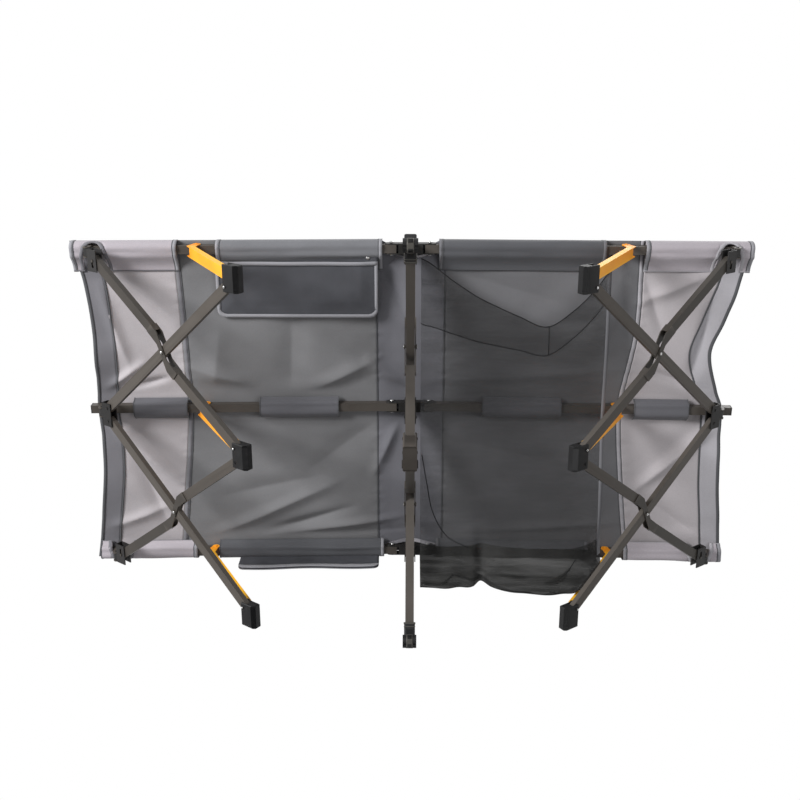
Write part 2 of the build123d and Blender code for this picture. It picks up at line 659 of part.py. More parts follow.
def build_net():
    """Loose storage net slung under the right half, from the north rail to the south rail."""
    seat = RAIL_SPACING - SLEEVE_FACE
    with BuildPart() as net:
        for reach, hem_inset, hem_drop, sag, belly_inset, belly_drop in NET_STATIONS:
            rail_z = RAIL_HEIGHT - (reach - HUB_PIN_REACH) * tan(SLOPE)
            under = rail_z - NET_DROP - sag
            hem = hem_inset - seat
            belly = seat - belly_inset
            line = (
                (hem, rail_z - hem_drop),
                (hem / 2, under + sag / 2),
                (0.0, under),
                (belly / 2, under - belly_drop / 6),
                (0.82 * belly, rail_z - RAIL_SIZE - 0.75 * belly_drop),
                (belly, rail_z - RAIL_SIZE - belly_drop),
                (seat - NET_CLOTH, rail_z - RAIL_SIZE - belly_drop / 2),
                (seat, rail_z),
            )
            back = [(y, z + NET_CLOTH) for y, z in line[:5]]
            back += [(y + NET_CLOTH / 2, z + 2 * NET_CLOTH) for y, z in line[5:6]]
            back += [(y - NET_CLOTH, z) for y, z in line[6:]]
            with BuildSketch(Plane((reach, 0, 0), x_dir=(0, 1, 0), z_dir=(1, 0, 0))):
                with BuildLine():
                    Polyline(*line, *reversed(back), close=True)
                make_face()
        loft(ruled=True)
    save(net, "storage_net")


def build_middle_set():
    """Crossed legs under the hubs, in the plane across the middle of the bed."""
    height = RAIL_HEIGHT - HUB_LEG_DROP
    normal = Vector(1, 0, 0)
    block_height = height
    for row in (NORTH, SOUTH):
        top_b = Vector(0, row * PIVOT_OFFSET, height)
        bottom_b = Vector(0, row * MID_FOOT_REACH, MID_FOOT_PIVOT)
        top_a = Vector(0, row * OUTER_PIVOT, height)
        crossing = crossing_of(top_b, top_a, bottom_b)
        bottom_a = Vector(0, top_b.Y, 2 * crossing.Z - height)
        block_height = bottom_a.Z
        name = ROW_NAMES[row]
        build_straight_leg(f"mid_straight_leg_{name}", top_b, bottom_b, crossing, normal,
                           STRAIGHT_THICK, False)
        build_forked_leg(f"mid_forked_leg_{name}", top_a, bottom_a, crossing, normal,
                         ACROSS * row, FORKED_THICK, False)
        build_mid_cap(row, top_b, bottom_b)
    build_mid_block(block_height)


def build_end_set(end):
    """Crossed legs, feet, knuckles and braces of one end of the bed."""
    normal = ACROSS.cross(leg_fall(end))
    top = knuckle_pin(end, 0) + leg_fall(end) * KNUCKLE_LEG
    bottom = foot_pivot(end, 0)
    for row in (NORTH, SOUTH):
        inner = ACROSS * (row * PIVOT_OFFSET)
        outer = ACROSS * (row * OUTER_PIVOT)
        crossing = middle(top + inner, bottom + outer)
        name = f"{ROW_NAMES[row]}_{END_NAMES[end]}"
        build_straight_leg(f"straight_leg_{name}", top + inner, bottom + outer, crossing, normal,
                           END_STRAIGHT_THICK, True)
        build_forked_leg(f"forked_leg_{name}", top + outer, bottom + inner, crossing, normal,
                         ACROSS * row, END_FORKED_THICK, True)
    for row in (NORTH, CENTRE, SOUTH):
        build_knuckle(row, end)
        build_end_foot(row, end)
        build_brace(row, end)


for rail_row in (NORTH, CENTRE, SOUTH):
    build_hub(rail_row)
    for rail_side_end in (LEFT, RIGHT):
        build_rail(rail_row, rail_side_end)
        build_cap(rail_row, rail_side_end)
        build_sleeves(rail_row, rail_side_end)
build_middle_set()
for bed_end in (LEFT, RIGHT):
    build_end_set(bed_end)
    build_bed(bed_end)

north_inside = Vector(LEFT * HUB_PIN_REACH, rail_y(NORTH) + SLEEVE_FACE, RAIL_HEIGHT - POCKET_DROP)
build_pocket("pocket_north", Plane(north_inside, x_dir=(LEFT, 0, 0), z_dir=(0, 0, -1)), NORTH_POCKET, 1)
south_outside = rail_point(LEFT, rail_y(SOUTH) + SLEEVE_FACE, 0, POCKET_DROP)
build_pocket("pocket_south", Plane(south_outside, x_dir=rail_along(LEFT), z_dir=Vector(0, -1, 0)),
             SOUTH_POCKET, -1)
build_net()
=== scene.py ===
"""Looks of a double folding camp cot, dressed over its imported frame.

Metres, X along the bed, Y across it and Z up. The photograph looks up at the underside of the
cot, so the camera stands below the floor, and the floor shows only from above.
"""

import json
import math

import bpy
from mathutils import Matrix, Vector, noise


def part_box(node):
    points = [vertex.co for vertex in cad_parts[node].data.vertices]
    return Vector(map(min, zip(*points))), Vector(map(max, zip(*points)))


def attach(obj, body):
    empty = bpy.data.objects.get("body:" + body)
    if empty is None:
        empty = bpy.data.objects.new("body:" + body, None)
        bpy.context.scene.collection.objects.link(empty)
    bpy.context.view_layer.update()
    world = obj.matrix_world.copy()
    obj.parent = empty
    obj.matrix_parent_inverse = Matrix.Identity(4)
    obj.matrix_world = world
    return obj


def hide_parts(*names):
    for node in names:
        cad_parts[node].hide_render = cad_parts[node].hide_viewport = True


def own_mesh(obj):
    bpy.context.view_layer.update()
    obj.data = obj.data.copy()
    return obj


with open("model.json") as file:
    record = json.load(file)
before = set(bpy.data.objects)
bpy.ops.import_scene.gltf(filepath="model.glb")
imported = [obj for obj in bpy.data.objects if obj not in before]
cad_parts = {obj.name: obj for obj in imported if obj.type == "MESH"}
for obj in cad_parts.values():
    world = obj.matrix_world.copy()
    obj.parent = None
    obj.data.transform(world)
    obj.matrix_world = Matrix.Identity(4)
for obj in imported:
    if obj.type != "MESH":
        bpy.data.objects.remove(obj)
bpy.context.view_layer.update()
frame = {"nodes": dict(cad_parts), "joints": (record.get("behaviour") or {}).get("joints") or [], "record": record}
scene = bpy.context.scene

NORTH, CENTRE, SOUTH = -1, 0, 1
LEFT, RIGHT = -1, 1
ROWS = {NORTH: "north", CENTRE: "centre", SOUTH: "south"}
ENDS = {LEFT: "left", RIGHT: "right"}

# Sizes taken from the frame
joints = {joint["name"]: joint for joint in frame["joints"]}
PIN = Vector(joints["fold"]["pos_m"])
PIN_REACH = abs(PIN.x)
RAIL_Z = PIN.z
cap_low, cap_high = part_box("cap_centre_left")
RAIL_HALF = (cap_high.y - cap_low.y) / 2
CAP_REACH = -(cap_low.x + cap_high.x) / 2
RAIL_FALL = (RAIL_Z - (cap_low.z + cap_high.z) / 2) / (CAP_REACH - PIN_REACH)
RAIL_Y = sum(corner.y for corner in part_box("cap_south_left")) / 2

# Outer middle feet: place of the leg's end
MID_FOOT_Y = 0.585
MID_FOOT_Z = 0.030

# Cloth
CLOTH = 0.0012
BED_LIFT = RAIL_HALF + 0.0040  # bed cloth above a rail's centre line
BED_HALF = 0.519
STRIP_SEAM = 0.102
HEM_WIDTH = 0.060
TAPE_LIFT = 0.0012


def srgb(red, green, blue):
    """Linear colour of an 8-bit one."""
    linear = []
    for level in (red, green, blue):
        share = level / 255
        linear.append(share / 12.92 if share <= 0.04045 else ((share + 0.055) / 1.055) ** 2.4)
    return (*linear, 1.0)


def smooth(points):
    """Function through (place, value) points, bent like a drawn spline."""
    def value(place):
        if place <= points[0][0]:
            return points[0][1]
        if place >= points[-1][0]:
            return points[-1][1]
        last = len(points) - 1
        i = max(k for k in range(last) if points[k][0] <= place)
        (a, low), (b, high) = points[i], points[i + 1]
        span = b - a
        before = points[max(i - 1, 0)]
        after = points[min(i + 2, last)]
        slope_in = (high - before[1]) / (b - before[0]) * span
        slope_out = (after[1] - low) / (after[0] - a) * span
        t = (place - a) / span
        return ((2 * t ** 3 - 3 * t ** 2 + 1) * low + (t ** 3 - 2 * t ** 2 + t) * slope_in
                + (3 * t ** 2 - 2 * t ** 3) * high + (t ** 3 - t ** 2) * slope_out)
    return value


def smooth_path(points):
    """Function from 0 to 1 along a smooth line through points of any dimension."""
    count = len(points) - 1
    axes = [smooth([(i / count, point[axis]) for i, point in enumerate(points)])
            for axis in range(len(points[0]))]
    return lambda t: tuple(axis(t) for axis in axes)


def ease(low, high, value):
    """Smooth step from 0 at low to 1 at high."""
    t = min(1.0, max(0.0, (value - low) / (high - low)))
    return t * t * (3 - 2 * t)


# Materials

def new_material(name):
    material = bpy.data.materials.new(name)
    material.use_nodes = True
    return material, material.node_tree


def object_coords(tree):
    return add(tree, "TexCoord").outputs["Object"]


def feed(node, label, value):
    """Give an input, by its name or number, a constant or a socket to follow."""
    socket = node.inputs[int(label) if label.isdigit() else label.replace("_", " ")]
    if isinstance(value, bpy.types.NodeSocket):
        node.id_data.links.new(value, socket)
    else:
        socket.default_value = value


def add(tree, kind, **values):
    """New shader node; values name its properties, or its inputs after in_."""
    node = tree.nodes.new("ShaderNode" + kind)
    for key, value in values.items():
        if key.startswith("in_"):
            feed(node, key[3:], value)
        else:
            setattr(node, key, value)
    return node


def shader(tree, **inputs):
    """Set inputs of a material's shader."""
    for label, value in inputs.items():
        feed(tree.nodes["Principled BSDF"], label, value)


def combine(tree, operation, first, second, clamp=False):
    return add(tree, "Math", operation=operation, use_clamp=clamp,
               in_0=first, in_1=second).outputs["Value"]


def mix_colours(tree, factor, dark, pale):
    return add(tree, "Mix", data_type="RGBA", in_Factor=factor, in_A=dark, in_B=pale).outputs["Result"]


def shade(colour, amount):
    return (*(min(1.0, level * amount) for level in colour[:3]), 1.0)


def spread(tree, socket, low, high, to_low=0.0, to_high=1.0):
    """Socket's range from low to high, mapped to another range."""
    return add(tree, "MapRange", in_Value=socket, in_From_Min=low, in_From_Max=high,
               in_To_Min=to_low, in_To_Max=to_high).outputs["Result"]


def noise_of(tree, coords, scale, detail, stretch=None):
    if stretch:
        coords = add(tree, "Mapping", in_Vector=coords, in_Scale=stretch).outputs["Vector"]
    return add(tree, "TexNoise", in_Vector=coords, in_Scale=scale, in_Detail=detail).outputs["Fac"]


def threads(tree, coords, pitch):
    """Over-and-under weave height, from two crossed waves."""
    waves = [add(tree, "TexWave", bands_direction=direction, in_Vector=coords,
                 in_Scale=math.tau / 20 / pitch, in_Distortion=0.4, in_Detail=1.0).outputs["Fac"]
             for direction in ("X", "Y")]
    return combine(tree, "MULTIPLY", *waves)


def bump(tree, height, strength, distance, **under):
    """Normal bent by a height, on top of another bump's normal if in_Normal gives one."""
    return add(tree, "Bump", in_Strength=strength, in_Distance=distance, in_Height=height,
               **under).outputs["Normal"]


def woven(name, colour, pitch=0.0016, mottle=0.10, roughness=0.82, sheen=0.15, crumple=0.006):
    """Woven polyester: fine threads, flecked yarn and soft uneven colour."""
    material, tree = new_material(name)
    coords = object_coords(tree)
    blotch = spread(tree, noise_of(tree, coords, 7.0, 4.0), 0.32, 0.68)
    fleck = spread(tree, noise_of(tree, coords, 520.0, 2.0), 0.35, 0.65)
    base = mix_colours(tree, blotch, shade(colour, 1 - mottle), shade(colour, 1 + mottle))
    flecked = mix_colours(tree, fleck, shade(colour, 0.86), shade(colour, 1.14))
    rumpled = bump(tree, noise_of(tree, coords, 5.5, 5.0, (1.0, 1.6, 1.0)), 0.55, crumple)
    shader(tree, Base_Color=mix_colours(tree, 0.45, base, flecked),
           Roughness=spread(tree, fleck, 0, 1, roughness - 0.06, roughness + 0.06),
           Sheen_Weight=sheen, Sheen_Roughness=0.5, Specular_IOR_Level=0.25,
           Normal=bump(tree, threads(tree, coords, pitch), 0.35, 0.0005, in_Normal=rumpled))
    return material


def netting(name, colour, pitch, cover, open_cover, patchy=0.0):
    """Knitted mesh that lets some light through: cover is its opacity on the yarn, patchy its unevenness."""
    material, tree = new_material(name)
    coords = object_coords(tree)
    weave = threads(tree, coords, pitch)
    blotch = spread(tree, noise_of(tree, coords, 9.0, 4.0), 0.3, 0.7)
    streaks = spread(tree, noise_of(tree, coords, 4.0, 4.0, (1.0, 6.0, 6.0)), 0.35, 0.65)
    yarn = spread(tree, weave, 0.1, 0.5, cover, open_cover)
    uneven = spread(tree, streaks, 0, 1, 1 - patchy, 1 + patchy)
    shader(tree, Base_Color=mix_colours(tree, blotch, shade(colour, 0.8), shade(colour, 1.2)),
           Alpha=combine(tree, "MULTIPLY", yarn, uneven), Roughness=0.7, Specular_IOR_Level=0.3,
           Normal=bump(tree, weave, 0.3, 0.0004))
    return material


def coated(name, colour, roughness, wear, metallic=0.0):
    """Powder-coated metal: fine orange-peel, slight streaks and paler rubbed edges."""
    material, tree = new_material(name)
    coords = object_coords(tree)
    streak = spread(tree, noise_of(tree, coords, 14.0, 5.0), 0.3, 0.7)
    coat = mix_colours(tree, streak, shade(colour, 0.88), shade(colour, 1.12))
    edge = add(tree, "NewGeometry").outputs["Pointiness"]
    rubbed = spread(tree, edge, 0.53, 0.62, 0.0, wear)
    shader(tree, Base_Color=mix_colours(tree, rubbed, coat, shade(colour, 2.6)),
           Roughness=spread(tree, streak, 0, 1, roughness - 0.07, roughness + 0.07),
           Metallic=metallic, Specular_IOR_Level=0.35,
           Normal=bump(tree, noise_of(tree, coords, 900.0, 2.0), 0.08, 0.0003))
    return material


def moulded(name, colour, roughness):
    """Moulded plastic with a spark-eroded grain."""
    material, tree = new_material(name)
    coords = object_coords(tree)
    scuff = spread(tree, noise_of(tree, coords, 40.0, 4.0), 0.55, 0.75)
    shader(tree, Base_Color=mix_colours(tree, scuff, colour, shade(colour, 1.7)),
           Roughness=spread(tree, scuff, 0, 1, roughness, roughness + 0.15), Specular_IOR_Level=0.3,
           Normal=bump(tree, noise_of(tree, coords, 700.0, 2.0), 0.15, 0.0003))
    return material


TUBE = coated("tube coat", srgb(60, 56, 52), 0.45, 0.5)
FITTING = coated("black bracket coat", srgb(40, 39, 38), 0.45, 0.6)
# near-black for the knuckles: painted shade, standing in for the dark recess round them
SHADOWED = coated("knuckle painted shade", srgb(30, 29, 29), 0.55, 0.5)
ORANGE = coated("orange coat", srgb(254, 156, 34), 0.45, 0.35)
BLACK = moulded("black plastic", srgb(28, 28, 29), 0.55)
# near-black for the openings in the middle feet: painted shade inside them
RECESS_SHADE = moulded("painted recess shade", srgb(14, 14, 14), 0.7)
CAP = moulded("cap plastic", srgb(52, 50, 48), 0.55)
HOUSING = moulded("grey housing plastic", srgb(66, 64, 60), 0.5)
STEEL = coated("bright rivet", srgb(215, 215, 215), 0.25, 0.0, metallic=0.9)
# the right copy is darker than the left: painted shade, as the light falls off to the right
DARK_CLOTH = {LEFT: woven("dark bed cloth left", srgb(114, 114, 116)),
              RIGHT: woven("dark bed cloth right in painted shade", srgb(104, 104, 107))}
STRIP_CLOTH = woven("centre strip cloth", srgb(110, 110, 116))
PALE_CLOTH = woven("pale bed cloth", srgb(172, 167, 170), mottle=0.05)
# the right copy is much paler than the left: painted light on the right end
HEM_CLOTH = {LEFT: woven("hem cloth left", srgb(112, 111, 116), mottle=0.07),
             RIGHT: woven("hem cloth right in painted light", srgb(165, 163, 168), mottle=0.07)}
PALE_SLEEVE = woven("pale sleeve cloth", srgb(168, 162, 168), mottle=0.05)
# the right copy is darker: painted shade, as the light falls off to the right; the south left sleeve wears it too
DARK_SLEEVE = {LEFT: woven("dark sleeve cloth left", srgb(112, 113, 117)),
               RIGHT: woven("dark sleeve cloth in painted shade", srgb(82, 83, 87))}
LOOP_CLOTH = woven("centre loop cloth", srgb(94, 94, 99))
BINDING = woven("grey binding", srgb(142, 142, 147), pitch=0.0012, mottle=0.06)
# darker copy of the grey binding: painted shade on the right-hand sleeves and the net's right edge
SHADED_BINDING = woven("grey binding in painted shade", srgb(106, 106, 110), pitch=0.0012, mottle=0.06)
DARK_TAPE = woven("dark seam tape", srgb(80, 81, 84), pitch=0.0012)
POCKET_MESH = netting("pocket mesh", srgb(74, 75, 80), 0.0024, 1.0, 0.86)
NET_MESH = netting("net mesh", srgb(56, 56, 57), 0.0026, 0.46, 0.32, 0.24)
NET_HEM = netting("turned net mesh", srgb(52, 52, 53), 0.0026, 0.36, 0.24, 0.2)
# near-black for the hanging belly: painted shade; its higher opacity stands for the gathered layers
NET_BELLY = netting("gathered net mesh in painted shade", srgb(29, 29, 28), 0.0026, 0.92, 0.76, 0.12)
NET_CORD = moulded("net cord", srgb(24, 24, 25), 0.75)


# Shapes

def mesh_object(name, points, faces, material, rounded=True):
    mesh = bpy.data.meshes.new(name)
    mesh.from_pydata(points, [], faces)
    mesh.materials.append(material)
    mesh.polygons.foreach_set("use_smooth", [rounded] * len(mesh.polygons))
    mesh.update()
    piece = bpy.data.objects.new(name, mesh)
    scene.collection.objects.link(piece)
    return piece


def surface(name, columns, rows, place, material, thick=CLOTH):
    """Sheet through place(u, v), u and v from 0 to 1, with a real thickness."""
    points = [place(i / columns, j / rows) for i in range(columns + 1) for j in range(rows + 1)]
    step = rows + 1
    faces = [(i * step + j, (i + 1) * step + j, (i + 1) * step + j + 1, i * step + j + 1)
             for i in range(columns) for j in range(rows)]
    piece = mesh_object(name, points, faces, material)
    if thick:
        solid = piece.modifiers.new("thickness", "SOLIDIFY")
        solid.thickness = thick
        solid.offset = 0.0
    return piece


def ring_faces(rings, sides):
    """Faces between rings of points that follow each other."""
    faces = []
    for start in range(0, (rings - 1) * sides, sides):
        for k in range(sides):
            after = (k + 1) % sides
            faces.append((start + k, start + after, start + sides + after, start + sides + k))
    return faces


def tube(name, path, radius, material, sides=8, steps=40, flat=1.0):
    """Round or flattened tube along path(t), t from 0 to 1, with closed ends."""
    line = [Vector(path(i / steps)) for i in range(steps + 1)]
    points = []
    up = Vector((0.0, 0.0, 1.0))
    for i, centre in enumerate(line):
        along = (line[min(i + 1, steps)] - line[max(i - 1, 0)]).normalized()
        side = along.cross(up)
        if side.length < 0.05:
            side = along.cross(Vector((0.0, 1.0, 0.0)))
        side.normalize()
        lift = side.cross(along)
        for k in range(sides):
            turn = math.tau * k / sides
            points.append(centre + side * (radius * math.cos(turn)) + lift * (radius * flat * math.sin(turn)))
    faces = ring_faces(steps + 1, sides)
    faces.append(tuple(reversed(range(sides))))
    faces.append(tuple(range(steps * sides, (steps + 1) * sides)))
    return mesh_object(name, points, faces, material)


def box_piece(name, centre, size, material, bevel=0.002, turn=None):
    """Block with rounded edges; turn is its rotation as a matrix."""
    turn = turn or Matrix.Identity(3)
    half = Vector(size) / 2
    corners = [Vector((sx * half.x, sy * half.y, sz * half.z))
               for sx in (-1, 1) for sy in (-1, 1) for sz in (-1, 1)]
    points = [Vector(centre) + turn @ corner for corner in corners]
    faces = [(0, 1, 3, 2), (4, 6, 7, 5), (0, 4, 5, 1), (2, 3, 7, 6), (0, 2, 6, 4), (1, 5, 7, 3)]
    piece = mesh_object(name, points, faces, material, rounded=False)
    round_edges(piece, bevel)
    return piece


def round_edges(piece, width):
    modifier = piece.modifiers.new("edges", "BEVEL")
    modifier.width = width
    modifier.segments = 2
    modifier.limit_method = "ANGLE"
    modifier.angle_limit = math.radians(38)


def dome(name, centre, axis, radius, height, material):
    """Rivet head standing on a face."""
    axis = Vector(axis).normalized()
    side = axis.orthogonal().normalized()
    other = axis.cross(side)
    rings, sides = 5, 16
    points = []
    for i in range(rings):
        lift = math.pi / 2 * i / rings
        for k in range(sides):
            turn = math.tau * k / sides
            points.append(Vector(centre) + (side * math.cos(turn) + other * math.sin(turn))
                          * (radius * math.cos(lift)) + axis * (height * math.sin(lift)))
    points.append(Vector(centre) + axis * height)
    top = len(points) - 1
    last = (rings - 1) * sides
    faces = ring_faces(rings, sides)
    faces += [(last + k, last + (k + 1) % sides, top) for k in range(sides)]
    faces.append(tuple(reversed(range(sides))))
    return mesh_object(name, points, faces, material)


def dress(piece, body, slot, fold=False):
    """Let a piece ride on a body; with fold set, and for sleeves and the north pocket, it gets a mesh of its own.
    """
    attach(piece, body)
    if fold:
        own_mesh(piece)
    if slot == "pocket" and body == "pocket_north":
        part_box(body)[0]
        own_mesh(piece)
    if slot == "sleeve":
        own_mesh(piece)
    return piece


def longest_lines(piece, columns, rows):
    """Longest line of points of a surface, along its rows and along its columns."""
    at = [vertex.co for vertex in piece.data.vertices]
    step = rows + 1
    across = [at[i * step:(i + 1) * step] for i in range(columns + 1)]
    along = [at[j::step] for j in range(step)]
    return [max(sum((b - a).length for a, b in zip(line, line[1:])) for line in lines)
            for lines in (across, along)]


# Bed cloth

def rail_height(x):
    """Centre line of the rails, level between the hub pins and falling towards the tips."""
    return RAIL_Z - max(0.0, abs(x) - PIN_REACH) * RAIL_FALL


# end edge of the bed and seam of the pale panel: reach along the bed at places across it
END_EDGE = {
    LEFT: smooth(((-0.52, 1.002), (-0.47, 0.988), (-0.355, 0.964), (-0.24, 0.955), (-0.11, 0.957),
                  (0.0, 0.966), (0.11, 0.96), (0.23, 0.962), (0.37, 0.984), (0.52, 1.012))),
    RIGHT: smooth(((-0.52, 0.992), (-0.42, 0.976), (-0.28, 0.934), (-0.18, 0.904), (-0.06, 0.936),
                   (0.0, 0.958), (0.1, 0.96), (0.24, 0.966), (0.38, 0.984), (0.52, 1.002))),
}
PALE_SEAM = {
    LEFT: smooth(((-0.52, 0.704), (-0.245, 0.693), (0.0, 0.69), (0.25, 0.712), (0.52, 0.745))),
    RIGHT: smooth(((-0.52, 0.69), (-0.25, 0.688), (0.0, 0.655), (0.25, 0.672), (0.52, 0.709))),
}
# soft creases: from and to on the bed, height and half width
CREASES = (
    (-0.36, -0.02, -0.125, -0.14, -0.020, 0.025),
    (-0.125, -0.14, -0.01, -0.06, -0.016, 0.022),
    (-0.68, -0.13, -0.5, -0.07, -0.016, 0.029),
    (-0.36, -0.3, -0.37, -0.04, 0.012, 0.047),
    (-0.58, -0.24, -0.6, -0.08, -0.010, 0.034),
    (-0.1, -0.46, -0.02, -0.3, 0.010, 0.025),
    (-0.1, 0.05, -0.3, 0.2, 0.010, 0.038),
    (-0.04, 0.06, -0.11, 0.22, -0.014, 0.017),
    (-0.62, 0.44, -0.26, 0.27, -0.016, 0.022),
    (-0.52, 0.46, -0.22, 0.36, 0.018, 0.017),
    (-0.46, 0.45, -0.08, 0.39, -0.020, 0.015),
    (-0.28, 0.45, -0.01, 0.43, 0.016, 0.012),
    (-0.58, 0.3, -0.3, 0.24, 0.010, 0.030),
    (-0.9, -0.42, -0.74, -0.3, 0.012, 0.019),
    (-0.92, -0.36, -0.86, -0.15, -0.014, 0.019),
    (-0.9, -0.05, -0.76, -0.09, 0.020, 0.012),
    (-0.93, -0.06, -0.82, -0.14, -0.016, 0.014),
    (-0.93, 0.06, -0.74, 0.24, -0.020, 0.019),
    (-0.86, 0.16, -0.78, 0.4, 0.012, 0.024),
    (-0.94, 0.4, -0.78, 0.34, -0.012, 0.017),
    (0.14, -0.42, 0.42, -0.34, 0.010, 0.034),
    (0.13, -0.08, 0.6, -0.12, -0.012, 0.025),
    (0.14, 0.12, 0.5, 0.2, 0.010, 0.034),
    (0.16, 0.44, 0.6, 0.4, -0.014, 0.017),
    (0.92, -0.44, 0.7, -0.34, -0.016, 0.020),
    (0.7, -0.4, 0.76, -0.24, 0.012, 0.020),
    (0.9, -0.34, 0.86, -0.12, 0.020, 0.020),
    (0.9, -0.05, 0.74, -0.12, 0.016, 0.015),
    (0.94, 0.05, 0.72, 0.26, -0.020, 0.020),
    (0.9, 0.42, 0.74, 0.3, 0.014, 0.022),
)
CREASE_SPAN = 0.5  # reach along the bed from its middle
CREASE_OVERRUN = 0.2  # past each end, as a share of its length
CREST_WIDTH = 0.55  # sharp crest, as a share of the half width
CREST_SHARE = 0.4  # and of the height
SAG = 0.009
END_SAG = 0.010
FLUTTER = 0.010
FLUTTER_DEPTH = 0.15
RIPPLE = 0.006
PUCKER = 0.0011
PUCKER_REACH = 0.018
PUCKER_WAVES = 170  # radians per metre
BED_ROWS = 200
RAIL_SEAT = 0.040  # cloth pulled flat over a rail, on each side of its middle
HUB_CUT = 0.010  # side edge of the bed, cut back round the hubs
HUB_CUT_ENDS = (0.070, 0.095)
HALF_GAP = 0.0004  # half of the gap between the bed halves
HEM_TURN = 0.001
# tapes along a line across the bed: from and to, off that line
STRIP_TAPE = (-0.002, 0.002)
PALE_TAPE = (-0.014, -0.003)
PALE_STITCH = (-0.017, -0.014)
HEM_STITCH = (-0.003, 0.002)
EDGE_BINDING = (-0.007, 0.003)
HUB_HEM_EDGE = 0.480
HUB_HEM_MIDDLE = 0.462
HUB_HEM_CURVE = 1.5
HUB_HEM_START = 0.0006
HUB_HEM_LENGTH = 0.083
HUB_HEM_WIDTH = 0.008
HUB_HEM_LOWER = 0.003
HUB_HEM_DROP = 0.010
# places across the bed, a centimetre apart
PLACES_ACROSS = [centimetre / 100 for centimetre in range(-52, 53)]


def crease_height(x, y):
    """Height of all creases at a place on the bed."""
    total = 0.0
    for x0, y0, x1, y1, height, width in CREASES:
        if abs(x - (x0 + x1) / 2) > CREASE_SPAN or x * x0 < 0:
            continue
        run, rise = x1 - x0, y1 - y0
        length = run * run + rise * rise
        t = ((x - x0) * run + (y - y0) * rise) / length
        if -CREASE_OVERRUN < t < 1 + CREASE_OVERRUN:
            side = ((x - x0) * rise - (y - y0) * run) / math.sqrt(length)
            taper = max(0.0, math.sin(math.pi * (t + CREASE_OVERRUN) / (1 + 2 * CREASE_OVERRUN)))
            swell = math.exp(-(side / width) ** 2)
            crest = math.exp(-abs(side) / (CREST_WIDTH * width))
            total += height * taper * ((1 - CREST_SHARE) * swell + CREST_SHARE * crest)
    return total


def bed_height(x, y):
    """Height of the bed cloth: on the rails, slack between them, fluttering at its free ends."""
    end = LEFT if x < 0 else RIGHT
    from_rail = min(abs(y), max(0.0, RAIL_Y - abs(y)))
    between = math.sin(math.pi / 2 * max(0.0, from_rail - RAIL_SEAT) / (RAIL_Y / 2 - RAIL_SEAT))
    outward = abs(x)
    loose = ease(0.02, 0.42, between)
    to_edge = max(0.0, END_EDGE[end](y) - outward)
    flutter = (1 - min(1.0, to_edge / FLUTTER_DEPTH)) ** 2
    wave = noise.noise(Vector((x * 2.0, y * 7.0, 3.7 * end)))
    ripple = noise.fractal(Vector((x * 3.1, y * 4.3, 1.3)), 0.9, 2.0, 3)
    seam = min(abs(outward - PALE_SEAM[end](y)), abs(outward - STRIP_SEAM))
    shift = 4 * noise.noise(Vector((x * 9, y * 20, 0)))
    pucker = math.exp(-(seam / PUCKER_REACH) ** 2) * math.sin(y * PUCKER_WAVES + shift)
    drop = SAG * between + END_SAG * between * ease(0.6, 0.95, outward)
    drop += FLUTTER * flutter * (0.5 + wave) * ease(0.3, 0.8, between)
    rise = loose * (RIPPLE * ripple + crease_height(x, y)) + PUCKER * pucker * loose
    return rail_height(x) + BED_LIFT - drop + rise


def bed_edge(x):
    """Side edge of the bed: cut back round the hubs."""
    return BED_HALF - HUB_CUT * (1 - ease(*HUB_CUT_ENDS, abs(x)))


def bed_point(x, y, lower=0.0):
    return (x, y, bed_height(x, y) - lower)


def straight(reach):
    """Line straight across the bed."""
    return lambda y: reach


def shifted(line, offset):
    """Line across the bed, moved along it."""
    return lambda y: line(y) + offset


def band(line, tape):
    """The two lines of a tape along a line."""
    return [shifted(line, offset) for offset in tape]


def bed_panel(name, end, inner, outer, columns, material, lower=0.0):
    """Part of one bed half between two lines, each given as reach at a place across the bed."""
    def place(u, v):
        y = (2 * v - 1) * BED_HALF
        reach = inner(y) + (outer(y) - inner(y)) * u
        y = (2 * v - 1) * bed_edge(reach)
        return bed_point(end * reach, y, lower)
    return surface(name, columns, BED_ROWS, place, material)


def hub_hem(row, end):
    """Turned hem of the bed's side beside a hub."""
    def place(u, v):
        line = HUB_HEM_EDGE + (HUB_HEM_MIDDLE - HUB_HEM_EDGE) * math.cos(math.pi / 2 * u) ** HUB_HEM_CURVE
        return bed_point(end * (HUB_HEM_START + HUB_HEM_LENGTH * u), row * (line + HUB_HEM_WIDTH * v),
                         HUB_HEM_LOWER + HUB_HEM_DROP * v)
    return surface(f"hub_hem_{ROWS[row]}_{ENDS[end]}", 20, 3, place, HEM_CLOTH[end])


